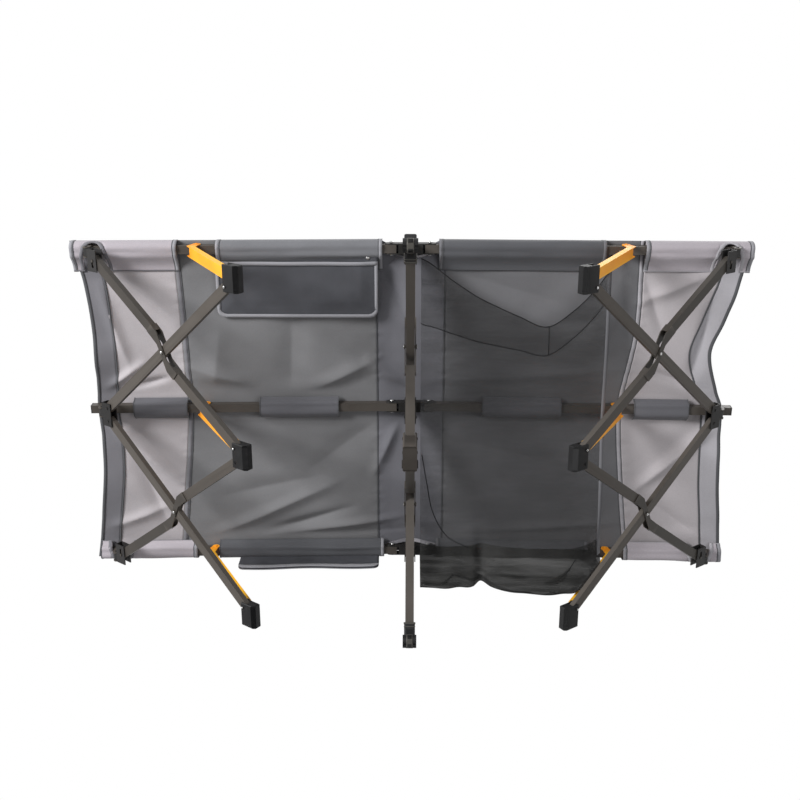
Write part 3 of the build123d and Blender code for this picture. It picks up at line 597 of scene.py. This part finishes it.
def build_bed(end):
    """One half of the bed: panels, and the tapes sewn on them."""
    side = ENDS[end]
    body = f"rail_centre_{side}"
    edge, seam, strip = END_EDGE[end], PALE_SEAM[end], straight(STRIP_SEAM)
    hem = shifted(edge, -HEM_WIDTH)
    # label, inner and outer line, columns, cloth, and how far below the bed it lies
    # on the right half the dark panel cloth is a darker copy (painted shade) and the hem cloth a paler copy
    # (painted light)
    panels = (
        ("strip", straight(HALF_GAP), strip, 20, STRIP_CLOTH, 0.0),
        ("dark_panel", strip, seam, 110, DARK_CLOTH[end], 0.0),
        ("pale_panel", seam, edge, 56, PALE_CLOTH, 0.0),
        ("end_hem", hem, shifted(edge, HEM_TURN), 8, HEM_CLOTH[end], TAPE_LIFT),
        ("strip_tape", *band(strip, STRIP_TAPE), 2, DARK_TAPE, TAPE_LIFT),
        ("pale_tape", *band(seam, PALE_TAPE), 2, HEM_CLOTH[end], TAPE_LIFT),
        ("pale_seam", *band(seam, PALE_STITCH), 2, DARK_TAPE, TAPE_LIFT),
        ("hem_seam", *band(hem, HEM_STITCH), 2, DARK_TAPE, 2 * TAPE_LIFT),
        ("edge_binding", *band(edge, EDGE_BINDING), 2, DARK_TAPE, 2 * TAPE_LIFT),
    )
    for row in (NORTH, SOUTH):
        dress(hub_hem(row, end), body, "bed", fold=True)
    for label, inner, outer, columns, material, lower in panels:
        piece = bed_panel(f"bed_{label}_{side}", end, inner, outer, columns, material, lower)
        dress(piece, body, "bed", fold=True)
    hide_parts(f"bed_{side}")
    sewn = {
        "strip": ("strip_tape", "hub_hem_north", "hub_hem_south"),
        "dark_panel": ("pale_tape", "pale_seam"),
        "pale_panel": (),
        "end_hem": ("hem_seam", "edge_binding"),
    }
    for label, inner, outer, *_ in panels:
        if label in sewn:
            reach = max(outer(y) - inner(y) for y in PLACES_ACROSS)


# Sleeves round the rails

# line round an outer rail, from the sewn seam inside it to the bed's edge: outward, below the centre line
WRAP_OUTSIDE = ((0.0218, 0.006), (0.0245, -0.0065), (0.0238, -0.0182))
WRAPS = {
    NORTH: smooth_path(((-0.067, -0.0095), (-0.047, -0.005), (-0.021, 0.011), (-0.006, 0.0168),
                        (0.0115, 0.017), *WRAP_OUTSIDE)),
    SOUTH: smooth_path(((-0.036, -0.008), (-0.027, -0.001), (-0.018, 0.0118), (-0.006, 0.0164),
                        (0.0115, 0.0168), *WRAP_OUTSIDE)),
    CENTRE: smooth_path(((-0.03, -0.008), (-0.025, 0.0), (-0.0165, 0.0148), (0.0, 0.0172),
                         (0.017, 0.0166), (0.03, 0.003), (0.037, -0.008))),
}
OUTER_SPANS = ((0.084, 0.573), (0.687, 0.998))
CENTRE_SPANS = ((0.221, 0.465), (0.686, 0.853))
SOUTH_LEFT_END = 0.616  # the dark south sleeve on the left runs on towards its brace
SLEEVE_STEP = 0.004
SLEEVE_ROWS = 22
SLEEVE_RIPPLE = 0.0026
SLEEVE_PUFF = 0.0050
SLEEVE_TIGHT = -0.0012  # deepest that the cloth goes in
WRAP_MIDDLE = 0.004  # the cloth swells away from this height above the centre line
# fold along a sleeve and the valley beside it: height, share of the way round, half width, drift
LONG_FOLD = (0.0050, 0.30, 0.05, 0.08)
LONG_VALLEY = (0.0040, 0.44, 0.035, 0.06)
HEM_BAND = 0.010
STITCH_BAND = 0.003
HEM_SWELL = 0.0008  # hems and seams stand off the sleeve
SEAM_SWELL = 0.0009
SEAM_START = 0.012  # seam along a sleeve, in shares of the way round
SEAM_WIDTH = 0.024
# cut for a leg bracket: along the rail, and in shares of the way round
ARCH_CENTRE = 0.929
ARCH_HALF = 0.035
ARCH_TOP = 0.70
ARCH_TAPE = 0.012
ARCH_TAPE_TOP = 0.10


def long_swell(t, drift, fold):
    """Swell of a fold that runs along a sleeve and drifts round it."""
    height, middle, half, share = fold
    return height * math.exp(-((t - middle - share * drift) / half) ** 2)


def wrap_point(row, end, reach, t, swell=0.0):
    """Point of a sleeve at a reach along its rail and a share of the way round it."""
    out, below = WRAPS[row](t)
    push = SLEEVE_RIPPLE * noise.noise(Vector((reach * 9, 5.0 * row + 2.0 * end, t * 3)))
    if row == SOUTH:
        push += SLEEVE_PUFF * max(0.0, noise.noise(Vector((reach * 7, t * 6 + reach * 3, 4.0 + end))))
    drift = noise.noise(Vector((reach * 2.5, row, end)))
    push += long_swell(t, drift, LONG_FOLD) * (0.6 + drift)
    push -= long_swell(t, drift, LONG_VALLEY)
    push = max(push, SLEEVE_TIGHT) * math.sin(math.pi * t) + swell
    away = Vector((out, below + WRAP_MIDDLE)).normalized()
    around = row or SOUTH
    x = end * reach
    return (x, row * RAIL_Y + around * (out + push * away.x), rail_height(x) - below - push * away.y)


def sleeve_cut(row, end, index):
    """Start, finish and cloth of a sleeve; the first of two is dark and the second pale."""
    if row == CENTRE:
        return (*CENTRE_SPANS[index], LOOP_CLOTH)
    start, finish = OUTER_SPANS[index]
    if index == 1:
        return start, finish, PALE_SLEEVE
    # the south left sleeve takes the darker sleeve copy: painted shade
    if row == SOUTH and end == LEFT:
        return start, SOUTH_LEFT_END, DARK_SLEEVE[RIGHT]
    return start, finish, DARK_SLEEVE[end]


def build_sleeve(row, end, index):
    """One sleeve; a pale one is cut in an arch where the leg bracket comes out of it."""
    name = f"{ROWS[row]}_{ENDS[end]}"
    body = f"rail_{name}"
    start, finish, material = sleeve_cut(row, end, index)
    pale = row != CENTRE and index == 1

    def sew(label, columns, rows, place, cloth):
        dress(surface(label, columns, rows, place, cloth), body, "sleeve")

    def floor_of(reach):
        inside = 1 - ((reach - ARCH_CENTRE) / ARCH_HALF) ** 2
        return ARCH_TOP * math.sqrt(inside) if pale and inside > 0 else 0.0

    def place(u, v):
        reach = start + (finish - start) * u
        low = floor_of(reach)
        return wrap_point(row, end, reach, low + (1 - low) * v)

    columns = max(24, int((finish - start) / SLEEVE_STEP))
    piece = dress(surface(f"sleeve_{name}_{index}", columns, SLEEVE_ROWS, place, material), body, "sleeve")
    if index == 0:
        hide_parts(f"sleeves_{name}")
    # hems of the right-hand dark sleeves get the darker binding: painted shade
    binding = SHADED_BINDING if end == RIGHT and not pale else BINDING
    for edge, inward, label in ((start, 1, "in"), (finish, -1, "out")):
        bands = ((0.0, HEM_BAND, binding), (HEM_BAND, HEM_BAND + STITCH_BAND, DARK_TAPE))
        if row == CENTRE or (row == SOUTH and end == LEFT and inward < 0):
            bands = ((0.0, STITCH_BAND, DARK_TAPE),)
        for k, (near, far, cloth) in enumerate(bands):
            def hem(u, v, edge=edge, inward=inward, near=near, far=far):
                return wrap_point(row, end, edge + inward * (near + (far - near) * u), v, HEM_SWELL)
            sew(f"sleeve_hem_{name}_{index}_{label}_{k}", 2, SLEEVE_ROWS, hem, cloth)
    if row != CENTRE:
        runs = [(start, finish)]
        if pale:
            runs = [(start, ARCH_CENTRE - ARCH_HALF), (ARCH_CENTRE + ARCH_HALF, finish)]
        for part, (low, high) in enumerate(runs):
            def seam(u, v, low=low, high=high):
                return wrap_point(row, end, low + (high - low) * u, SEAM_START + SEAM_WIDTH * v, SEAM_SWELL)
            sew(f"sleeve_seam_{name}_{index}_{part}", 40, 2, seam, HEM_CLOTH[end] if pale else DARK_TAPE)
    if pale:
        def arch(u, v):
            turn = math.pi * u
            half = ARCH_HALF + ARCH_TAPE * v
            top = ARCH_TOP + ARCH_TAPE_TOP * v
            return wrap_point(row, end, ARCH_CENTRE + half * math.cos(turn), top * math.sin(turn), SEAM_SWELL)
        sew(f"arch_binding_{name}", 36, 2, arch, HEM_CLOTH[end])


# Pockets

POCKET_GAP = 0.003  # front off the back, at the edges
POCKET_BELLY = 0.004  # and further off inside them
POCKET_EDGE = 0.05  # the belly rises over this width
POCKET_OPEN = 0.003
RIM_OFF = 0.0065
RIM_CLOTH = 0.0016
RIM_WIDTH = 0.010
RIM_TURN = 0.02  # the rim turns over at the middle lines
RIM_CORNER = 0.7  # width of the rim round a corner, as a share
MOUTH_ABOVE = 0.005
MOUTH_WIDTH = 0.011
INNER_RIM = 0.016
INNER_RIM_OFF = -0.0012
SOUTH_DEPTH = 0.076
SOUTH_TOP = 0.011  # below the rail's centre line
SOUTH_RIPPLE = 0.002
POCKET_INSET = 0.002  # back inside the face of the pocket's solid
SNAP_INSET = (0.030, 0.012)


def pocket_line(low, high, depth, corner, lip):
    """Outline of a pocket from one end of its mouth round its rounded bottom to the other."""
    points = [(low, lip)]
    for start, cx in ((math.pi, low + corner), (math.pi / 2, high - corner)):
        for k in range(7):
            turn = start - math.pi / 2 * k / 6
            points.append((cx + corner * math.cos(turn), depth - corner + corner * math.sin(turn)))
    points.append((high, lip))
    return points


def polyline(points):
    """Function from 0 to 1 along straight runs, by length."""
    lengths = [0.0]
    for a, b in zip(points, points[1:]):
        lengths.append(lengths[-1] + (Vector(b) - Vector(a)).length)

    def at(t):
        goal = t * lengths[-1]
        i = max(k for k in range(len(points) - 1) if lengths[k] <= goal + 1e-9)
        share = (goal - lengths[i]) / max(lengths[i + 1] - lengths[i], 1e-9)
        return tuple(Vector(points[i]).lerp(Vector(points[i + 1]), min(1.0, share)))
    return at


def build_pocket(row, place, size, lip, corner, folds):
    """Mesh pouch: back, bellied front with bound edges, and the plain strip above its mouth."""
    width, depth = size
    label = ROWS[row]
    body = f"pocket_{label}"

    def belly(along, down):
        inside = max(0.0, min(along, width - along, depth - down, POCKET_EDGE)) / POCKET_EDGE
        rumple = folds * (0.5 + noise.noise(Vector((along * 9, down * 12, row))))
        return inside * (POCKET_BELLY + rumple + POCKET_OPEN * ease(depth, lip, down))

    def rounded(u, v, top):
        down = top + (depth - top) * v
        into = max(0.0, down - (depth - corner))
        inset = corner - math.sqrt(max(0.0, corner ** 2 - into ** 2))
        return inset + (width - 2 * inset) * u, down

    def back(u, v):
        return place(*rounded(u, v, 0.0), 0.0)

    def front(u, v):
        along, down = rounded(u, v, lip)
        return place(along, down, POCKET_GAP + belly(along, down))

    rear = surface(f"pocket_back_{label}", 60, 24, back, POCKET_MESH)
    panel = surface(f"pocket_front_{label}", 70, 28, front, POCKET_MESH)
    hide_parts(body)
    outline = polyline(pocket_line(0.0, width, depth, corner, lip))

    def rim(u, v):
        along, down = outline(u)
        upright = down < depth - corner
        aside = max(-1, min(1, (width / 2 - along) / RIM_TURN))
        up = 0.0 if upright else max(-1, min(1, ((depth + lip) / 2 - down) / RIM_TURN))
        if not upright or abs(aside) < 0.99:
            aside *= RIM_CORNER
        return place(along + RIM_WIDTH * v * aside, down + RIM_WIDTH * v * up, RIM_OFF)

    def mouth(u, v):
        along = width * u
        return place(along, lip - MOUTH_ABOVE + MOUTH_WIDTH * v, RIM_OFF + belly(along, lip + POCKET_INSET))

    def inner_rim(u, v):
        along, down = outline(u)
        return place(along, down - INNER_RIM * v * ease(depth - corner, depth, down), INNER_RIM_OFF)

    edges = [("rim", rim, 80), ("mouth", mouth, 50)]
    if row == SOUTH:
        edges.append(("inner_rim", inner_rim, 80))
    for kind, shape, columns in edges:
        tape = surface(f"pocket_{kind}_{label}", columns, 2, shape, BINDING, RIM_CLOTH)
        dress(tape, body, "pocket")
    for piece in (rear, panel):
        dress(piece, body, "pocket")


def build_pockets():
    """The north pocket lies flat under the bed, the south one hangs outside its rail."""
    north_low, north_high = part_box("pocket_north")
    south_low, south_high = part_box("pocket_south")

    def north(along, down, off):
        return (north_high.x - along, north_low.y + down, north_high.z - POCKET_INSET - off)

    def south(along, down, off):
        x = south_high.x - along
        ripple = SOUTH_RIPPLE * math.sin(along * 21) * down / SOUTH_DEPTH
        return (x, south_low.y + POCKET_INSET + off + ripple, rail_height(x) - SOUTH_TOP - down)

    north_size = (north_high.x - north_low.x, north_high.y - north_low.y)
    build_pocket(NORTH, north, north_size, lip=0.026, corner=0.022, folds=0.004)
    south_size = (south_high.x - south_low.x, SOUTH_DEPTH)
    build_pocket(SOUTH, south, south_size, lip=0.030, corner=0.018, folds=0.005)
    snap = dome("pocket_snap", north(*SNAP_INSET, 0.001), (0, 0, -1), 0.006, 0.003, STEEL)
    dress(snap, "pocket_north", "fitting")


# Storage net

# stations along the net: reach, north hem (y, z), under the middle (z), belly (y, z)
NET_STATIONS = (
    (0.031, -0.470, 0.406, 0.354, 0.470, 0.128),
    (0.060, -0.455, 0.402, 0.351, 0.471, 0.128),
    (0.120, -0.410, 0.392, 0.345, 0.472, 0.132),
    (0.190, -0.365, 0.380, 0.350, 0.474, 0.150),
    (0.215, -0.352, 0.376, 0.350, 0.474, 0.182),
    (0.245, -0.338, 0.372, 0.350, 0.474, 0.150),
    (0.320, -0.305, 0.366, 0.345, 0.474, 0.112),
    (0.405, -0.275, 0.360, 0.342, 0.474, 0.100),
    (0.485, -0.325, 0.368, 0.345, 0.472, 0.106),
    (0.545, -0.385, 0.380, 0.350, 0.468, 0.165),
    (0.590, -0.446, 0.394, 0.356, 0.462, 0.265),
)
NET_SEAT = RAIL_Y - RAIL_HALF - 0.0045  # inner face of the south rail
# depth of the turned-down top of the net, along it
NET_TURN = smooth(((0.045, 0.19), (0.14, 0.15), (0.3, 0.105), (0.41, 0.085), (0.59, 0.08)))
NET_TUCK = 0.41
# folds in the hanging part: from and to, as reach and share of the way down, and half width
NET_PLEATS = (
    (0.130, 0.640, 0.360, 0.700, 0.010),
    (0.130, 0.640, 0.045, 0.690, 0.008),
    (0.200, 0.650, 0.300, 0.740, 0.009),
    (0.300, 0.740, 0.420, 0.690, 0.007),
    (0.400, 0.650, 0.500, 0.590, 0.010),
    (0.420, 0.690, 0.560, 0.730, 0.008),
)
# line of the drawn-up left edge: reach and share of the way down
NET_EDGE = smooth_path(((0.036, 0.35), (0.052, 0.41), (0.07, 0.47), (0.112, 0.525), (0.18, 0.56)))


def net_lines():
    """Functions of the reach through each column of the stations."""
    reaches = [station[0] for station in NET_STATIONS]
    return [smooth(list(zip(reaches, [station[k] for station in NET_STATIONS]))) for k in range(1, 6)]


NET_HEM_Y, NET_HEM_Z, NET_MIDDLE_Z, NET_BELLY_Y, NET_BELLY_Z = net_lines()
NET_LEFT, NET_RIGHT = NET_STATIONS[0][0], NET_STATIONS[-1][0]
NET_HANGS = 0.55  # share of the way across where the net turns down
NET_COLUMNS = 120
NET_ROWS = 130
NET_RUNS = 7  # runs in the net's line across the bed
NET_BELLY_RUN = 5  # and those before its belly
NET_RIPPLE = 0.008
NET_GATHER = 0.005
NET_GATHERS = 62  # radians per metre
NET_THICK_CORD = 0.0016
NET_THIN_CORD = 0.0014
NET_FINE_CORD = 0.0011
TURN_LOWER = 0.003  # how far below the net its trimmings lie
EDGE_LOWER = 0.002
PLEAT_LOWER = 0.0022
PLEAT_BOW = 0.02
BINDING_LOWER = 0.0014
BINDING_WIDTH = 0.020  # in shares of the net's length, and its end in shares of the way across
BINDING_END = 0.62
RING_RADIUS = 0.009
RING_OFF = 0.004
FITTING_LOWER = 0.002


def net_spot(x, v, lower=0.0):
    """Point of the net at a reach along the bed, from the north hem (0) to the south rail (1) by v."""
    hem_y, hem_z = NET_HEM_Y(x), NET_HEM_Z(x)
    belly_y, belly_z = NET_BELLY_Y(x), NET_BELLY_Z(x)
    middle = NET_MIDDLE_Z(x)
    line = smooth_path((
        (hem_y, hem_z),
        (hem_y * 0.5, (hem_z + middle) / 2 - 0.010),
        (0.02, middle),
        (0.24, middle - 0.045),
        (0.40, (middle + belly_z) / 2 - 0.015),
        (belly_y, belly_z),
        (NET_SEAT - 0.001, (rail_height(x) + belly_z) / 2),
        (NET_SEAT, rail_height(x) - 0.004),
    ))
    y, z = line(v)
    free = math.sin(math.pi * v)
    ripple = NET_RIPPLE * free * noise.noise(Vector((x * 5, v * 9, 2.2)))
    shift = 5 * noise.noise(Vector((x * 6, v * 4, 8.0)))
    gather = NET_GATHER * ease(0.45, 0.75, v) * free * math.sin(x * NET_GATHERS + shift)
    return (x, y - lower * ease(0.5, 0.7, v), z + ripple + gather - lower)


def net_reach(u):
    return NET_LEFT + (NET_RIGHT - NET_LEFT) * u


def net_point(u, v, lower=0.0):
    return net_spot(net_reach(u), v, lower)


def net_turn(u, v):
    """Turned-down top of the net, from its hem (0) to the edge of the turn (1) by v."""
    x = net_reach(u)
    last = NET_TURN(x) / (-NET_HEM_Y(x) * 0.5) / NET_RUNS
    return net_spot(x, last * v, TURN_LOWER)


def net_pleats():
    """Gathered folds of the hanging part: each a doubled strip of the belly net in painted shade, with a dark line
    along it that is painted shade in the fold.
    """
    pieces = []
    for k, (x0, v0, x1, v1, half) in enumerate(NET_PLEATS):
        def pleat(u, v, x0=x0, v0=v0, x1=x1, v1=v1, half=half):
            bow = PLEAT_BOW * math.sin(math.pi * u)
            aside = half * math.sin(math.pi * min(1.0, u * 1.1)) * (2 * v - 1)
            return net_spot(x0 + (x1 - x0) * u, v0 + (v1 - v0) * u + bow + aside, PLEAT_LOWER)
        pieces.append(surface(f"net_pleat_{k}", 24, 3, pleat, NET_BELLY, 0.0))
        # dark line along the fold: painted shade
        pieces.append(tube(f"net_pleat_shade_line_{k}", lambda t, pleat=pleat: pleat(t, 0.5), NET_FINE_CORD,
                           NET_CORD, sides=6, steps=24))
    return pieces


def build_net():
    net = surface("storage_net_mesh", NET_COLUMNS, NET_ROWS, net_point, NET_MESH, 0.0)
    net.data.materials.append(NET_BELLY)
    # the hanging part of the net gets the belly's painted shade
    for polygon in net.data.polygons:
        polygon.material_index = 1 if polygon.index % NET_ROWS >= NET_HANGS * NET_ROWS else 0
    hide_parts("storage_net")
    tuck = (NET_TUCK - NET_LEFT) / (NET_RIGHT - NET_LEFT)
    belly = NET_BELLY_RUN / NET_RUNS
    trimmings = [surface("net_turned_hem", 100, 10, net_turn, NET_HEM, 0.0)]
    for name, path, radius, steps in (
            ("net_hem_cord", lambda t: net_turn(t, 0.0), NET_THICK_CORD, 90),
            ("net_turn_cord", lambda t: net_turn(t, 1.0), NET_THIN_CORD, 90),
            ("net_tuck", lambda t: net_turn(tuck, t), NET_THIN_CORD, 20),
            ("net_side_cord", lambda t: net_spot(*NET_EDGE(t), EDGE_LOWER), NET_THIN_CORD, 60),
            ("net_bottom_cord", lambda t: net_point(t, belly), NET_FINE_CORD, 90)):
        trimmings.append(tube(name, path, radius, NET_CORD, steps=steps))
    trimmings += net_pleats()

    def right_binding(u, v):
        return net_point(1.0 - BINDING_WIDTH * v, u * BINDING_END, BINDING_LOWER)

    # the net's right binding has the darker binding copy: painted shade
    trimmings.append(surface("net_right_binding", 100, 2, right_binding, SHADED_BINDING, CLOTH))
    across, along = longest_lines(net, NET_COLUMNS, NET_ROWS)
    for piece in (net, *trimmings):
        dress(piece, "rail_centre_right", "net", fold=True)


def build_net_hook():
    """Ring in the net's corner, and the flat hook from it to the north rail."""
    corner = Vector(net_point(1.0, 0.0)) - Vector((0.0, 0.0, FITTING_LOWER))

    def ring(t):
        turn = math.tau * t
        return corner + Vector((0.0, RING_RADIUS * math.cos(turn) - RING_OFF, RING_RADIUS * math.sin(turn)))

    def hook(t):
        return corner + Vector((0.004 * math.sin(4 * t), -0.012 - 0.032 * t, 0.016 * t))

    hook_piece = tube("net_hook", hook, 0.0045, NET_CORD, steps=12, flat=0.5)
    for piece in (tube("net_ring", ring, NET_THICK_CORD, STEEL, steps=32), hook_piece):
        dress(piece, "rail_north_right", "fitting")


# Rivets and other small hardware

HUB_HEAD = RAIL_HALF + 0.0055  # rivet heads of a hub from the rail's centre line
HUB_HEAD_RADIUS = 0.0065
HUB_HEAD_HEIGHT = 0.0045
# rivet heads of the pivots, by the start of the joint's name: from the pivot's middle, and radius
PIVOT_HEADS = {
    "crossing_": (0.0136, 0.0042),
    "mid_crossing_": (0.0186, 0.0045),
    "foot_swing_": (0.0161, 0.0036),
}
PIVOT_HEAD_HEIGHT = 0.002
EAR_REACH = RAIL_Y + RAIL_HALF + 0.020
EAR_DROP = 0.006
EAR_SIZE = (0.014, 0.012, 0.006)
BLOCK_RIBS = 3
BLOCK_RIB_PITCH = 0.007
BLOCK_RIB_SIZE = (0.003, 0.0022, 0.022)

# outer middle feet
MID_PAD = 0.0190  # radius of the round pads, and height of their axis
MID_PAD_Z = 0.0185
MID_SEEN = {NORTH: 100, SOUTH: 60}  # middle of the housing's strip, in degrees
HOUSING_HALF = 0.0095
HOUSING_SPREAD = 80
PANE_HALF = 0.0060
PANE_TURN = 42  # panes from the middle of the strip, and half their width, in degrees
PANE_SPREAD = 19
MID_FACE = 0.0186  # underside of the foot from the leg's line
# blocks on the foot: name, place along the leg and below its line, size, plastic or painted shade, and rounding
MID_BLOCKS = (
    ("mid_collar_{}_0", -0.046, 0.0, (0.0345, 0.0400, 0.0060), HOUSING, 0.001),
    ("mid_collar_{}_1", -0.036, 0.0, (0.0335, 0.0385, 0.0030), HOUSING, 0.001),
    # the windows are thin near-black blocks: painted shade in the openings
    ("mid_window_{}_0", -0.022, MID_FACE, (0.0170, 0.0012, 0.0130), RECESS_SHADE, 0.0004),
    ("mid_window_{}_1", -0.002, MID_FACE, (0.0170, 0.0012, 0.0130), RECESS_SHADE, 0.0004),
    ("mid_rib_{}", -0.012, MID_FACE, (0.0200, 0.0024, 0.0040), CAP, 0.0006),
)


def build_mid_foot(row):
    """Housing strip with panes, collars, windows and rib of an outer middle foot; panes and windows are near-black
    painted shade.
    """
    label = ROWS[row]
    body = f"mid_straight_{label}"

    def skin(half, middle, spread_by, off):
        """Strip under the round pads, by its angle from the inner side, down and out."""
        def place(u, v):
            turn = math.radians(middle + spread_by * (2 * v - 1))
            reach = MID_PAD + off
            return (half * (2 * u - 1), row * (MID_FOOT_Y - reach * math.cos(turn)),
                    max(0.0004 - off / 2, MID_PAD_Z - reach * math.sin(turn)))
        return place

    seen = MID_SEEN[row]
    strip = skin(HOUSING_HALF, seen, HOUSING_SPREAD, 0.0006)
    dress(surface(f"mid_housing_{label}", 6, 40, strip, HOUSING, 0.0008), body, "foot")
    # panes: near-black strips on the housing, painted shade
    for k, middle in enumerate((seen - PANE_TURN, seen + PANE_TURN)):
        pane = skin(PANE_HALF, middle, PANE_SPREAD, 0.0013)
        dress(surface(f"mid_pane_{label}_{k}", 4, 12, pane, RECESS_SHADE, 0.0006), body, "foot")
    foot = Vector((0.0, row * MID_FOOT_Y, MID_FOOT_Z))
    along = (foot - Vector(joints[f"mid_crossing_{label}"]["pos_m"])).normalized()
    under = Vector((0.0, along.z * row, -along.y * row))
    turn = Matrix((Vector((1.0, 0.0, 0.0)), under, along)).transposed()
    for name, at, below, size, plastic, bevel in MID_BLOCKS:
        spot = foot + under * below + along * at
        dress(box_piece(name.format(label), spot, size, plastic, bevel, turn), body, "foot")


def build_hub_rivets():
    for row, label in ROWS.items():
        for end, side in ENDS.items():
            for face, where in ((-1, "in"), (1, "out")):
                spot = (end * PIN_REACH, row * RAIL_Y + face * HUB_HEAD, RAIL_Z)
                head = dome(f"hub_rivet_{label}_{side}_{where}", spot, (0, face, 0), HUB_HEAD_RADIUS,
                            HUB_HEAD_HEIGHT, STEEL)
                dress(head, f"hub_{label}", "fitting")


def build_pivot_rivets():
    for name, joint in joints.items():
        axis = Vector(joint["axis"])
        for kind, (reach, radius) in PIVOT_HEADS.items():
            if not name.startswith(kind):
                continue
            for face, where in ((-1, "low"), (1, "high")):
                spot = Vector(joint["pos_m"]) + axis * (face * reach)
                head = dome(f"rivet_{name}_{where}", spot, axis * face, radius, PIVOT_HEAD_HEIGHT, STEEL)
                dress(head, joint["child"], "fitting")


def build_hub_ear(row):
    """Clip on the ear of an outer hub, and under it a bright steel screw put there as a painted highlight."""
    label = ROWS[row]
    spot = (0.0, row * EAR_REACH, RAIL_Z - EAR_DROP)
    clip = box_piece(f"hub_ear_clip_{label}", spot, EAR_SIZE, FITTING, 0.0015)
    dress(clip, f"hub_{label}", "fitting")
    under = RAIL_Z - EAR_DROP - EAR_SIZE[2] / 2
    # bright steel screw under the ear: painted highlight
    screw = dome(f"hub_ear_highlight_screw_{label}", (0.002, row * EAR_REACH, under), (0, 0, -1), 0.0040, 0.0025, STEEL)
    dress(screw, f"hub_{label}", "fitting")


def build_block_ribs():
    """Grip ribs on the block of the centre foot."""
    low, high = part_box("mid_foot_centre")
    for k in range(BLOCK_RIBS):
        for end, side in ENDS.items():
            spot = (end * high.x * 0.96, high.y - 0.010 - BLOCK_RIB_PITCH * k, low.z + 0.012)
            rib = box_piece(f"mid_block_rib_{k}_{side}", spot, BLOCK_RIB_SIZE, CAP, 0.0006)
            dress(rib, "mid_foot_centre", "foot")


def build_hardware():
    build_hub_rivets()
    build_pivot_rivets()
    for row in (NORTH, SOUTH):
        build_mid_foot(row)
        build_hub_ear(row)
    build_block_ribs()


# Frame finishes

SLOT_FINISH = {"tube": TUBE, "fitting": FITTING, "orange": ORANGE, "foot": BLACK, "cap": CAP}
NODE_FINISH = {"mid_foot_centre": TUBE}
EDGE_ROUND = 0.0012


def finish_frame():
    """Give each rigid piece of the frame its coat, the knuckles their painted shade, and softened edges."""
    for entry in frame["record"]["subparts"]:
        node = frame["nodes"][entry["node"]]
        material = NODE_FINISH.get(entry["node"], SLOT_FINISH.get(entry["material_slot"]))
        # knuckles get the near-black painted shade instead of a coat
        if entry["node"].startswith("knuckle_"):
            material = SHADOWED
        if material is None:
            continue
        node.data.materials.clear()
        node.data.materials.append(material)
        round_edges(node, EDGE_ROUND)


# Stage, light and camera

CAMERA_PLACE = Vector((0.0058, -1.1278, -2.6979))
CAMERA_RIGHT = Vector((0.99993, 0.00073, 0.01187))
CAMERA_UP = Vector((-0.00328, -0.94254, 0.33408))
CAMERA_LENS = 48.132  # millimetres, on a sensor this wide
CAMERA_SENSOR = 36.0
LAMP_TARGET = Vector((0.0, 0.0, 0.4))
WORLD_LEVEL = 0.36
FLOOR_SIZE = 30.0


def build_stage():
    """Pale floor that shows from above only, so that the underside can be seen."""
    half = FLOOR_SIZE / 2
    corners = [(-half, -half, 0), (half, -half, 0), (half, half, 0), (-half, half, 0)]
    material, tree = new_material("floor")
    mesh_object("floor", corners, [(0, 1, 2, 3)], material)
    shader(tree, Base_Color=srgb(232, 232, 231), Roughness=0.9)
    rays = add(tree, "LightPath").outputs
    seen = combine(tree, "MAXIMUM", rays["Is Camera Ray"], rays["Is Glossy Ray"])
    back = add(tree, "NewGeometry").outputs["Backfacing"]
    clear = add(tree, "BsdfTransparent").outputs["BSDF"]
    mix = add(tree, "MixShader", in_0=combine(tree, "SUBTRACT", seen, back, clamp=True),
              in_1=clear, in_2=tree.nodes["Principled BSDF"].outputs["BSDF"])
    feed(tree.nodes["Material Output"], "Surface", mix.outputs["Shader"])


def build_world():
    """White backdrop, with an even light of its own."""
    world = bpy.data.worlds.new("studio")
    scene.world = world
    world.use_nodes = True
    tree = world.node_tree
    rays = add(tree, "LightPath").outputs
    seen = rays["Is Camera Ray"]
    for ray in ("Is Glossy Ray", "Is Transmission Ray"):
        seen = combine(tree, "MAXIMUM", seen, rays[ray])
    background = tree.nodes["Background"]
    feed(background, "Color", (1, 1, 1, 1))
    feed(background, "Strength", spread(tree, seen, 0, 1, WORLD_LEVEL, 1.0))


def lamp(name, place, size, power):
    """Square area lamp that faces the bed."""
    light = bpy.data.lights.new(name, "AREA")
    light.size = size
    light.energy = power
    obj = bpy.data.objects.new(name, light)
    obj.location = place
    obj.rotation_euler = (LAMP_TARGET - Vector(place)).to_track_quat("-Z", "Y").to_euler()
    scene.collection.objects.link(obj)


def build_lights():
    lamp("key_below", (-4.6, -3.2, -2.5), 2.0, 480)
    lamp("fill_below", (2.2, -0.8, -2.8), 2.0, 30)
    lamp("key_above", (1.6, -2.0, 3.0), 2.4, 50)


def build_camera():
    data = bpy.data.cameras.new("camera")
    data.lens = CAMERA_LENS
    data.sensor_width = CAMERA_SENSOR
    data.clip_end = 100
    camera = bpy.data.objects.new("camera", data)
    back = CAMERA_RIGHT.cross(CAMERA_UP)
    turn = Matrix((CAMERA_RIGHT, CAMERA_UP, back)).transposed().to_4x4()
    camera.matrix_world = Matrix.Translation(CAMERA_PLACE) @ turn
    scene.collection.objects.link(camera)
    scene.camera = camera


finish_frame()
for bed_end in ENDS:
    build_bed(bed_end)
    for rail_row in ROWS:
        for span in (0, 1):
            build_sleeve(rail_row, bed_end, span)
build_pockets()
build_net()
build_net_hook()
build_hardware()
build_stage()
build_world()
build_lights()
build_camera()
scene.view_settings.view_transform = "Standard"

bpy.context.view_layer.update()
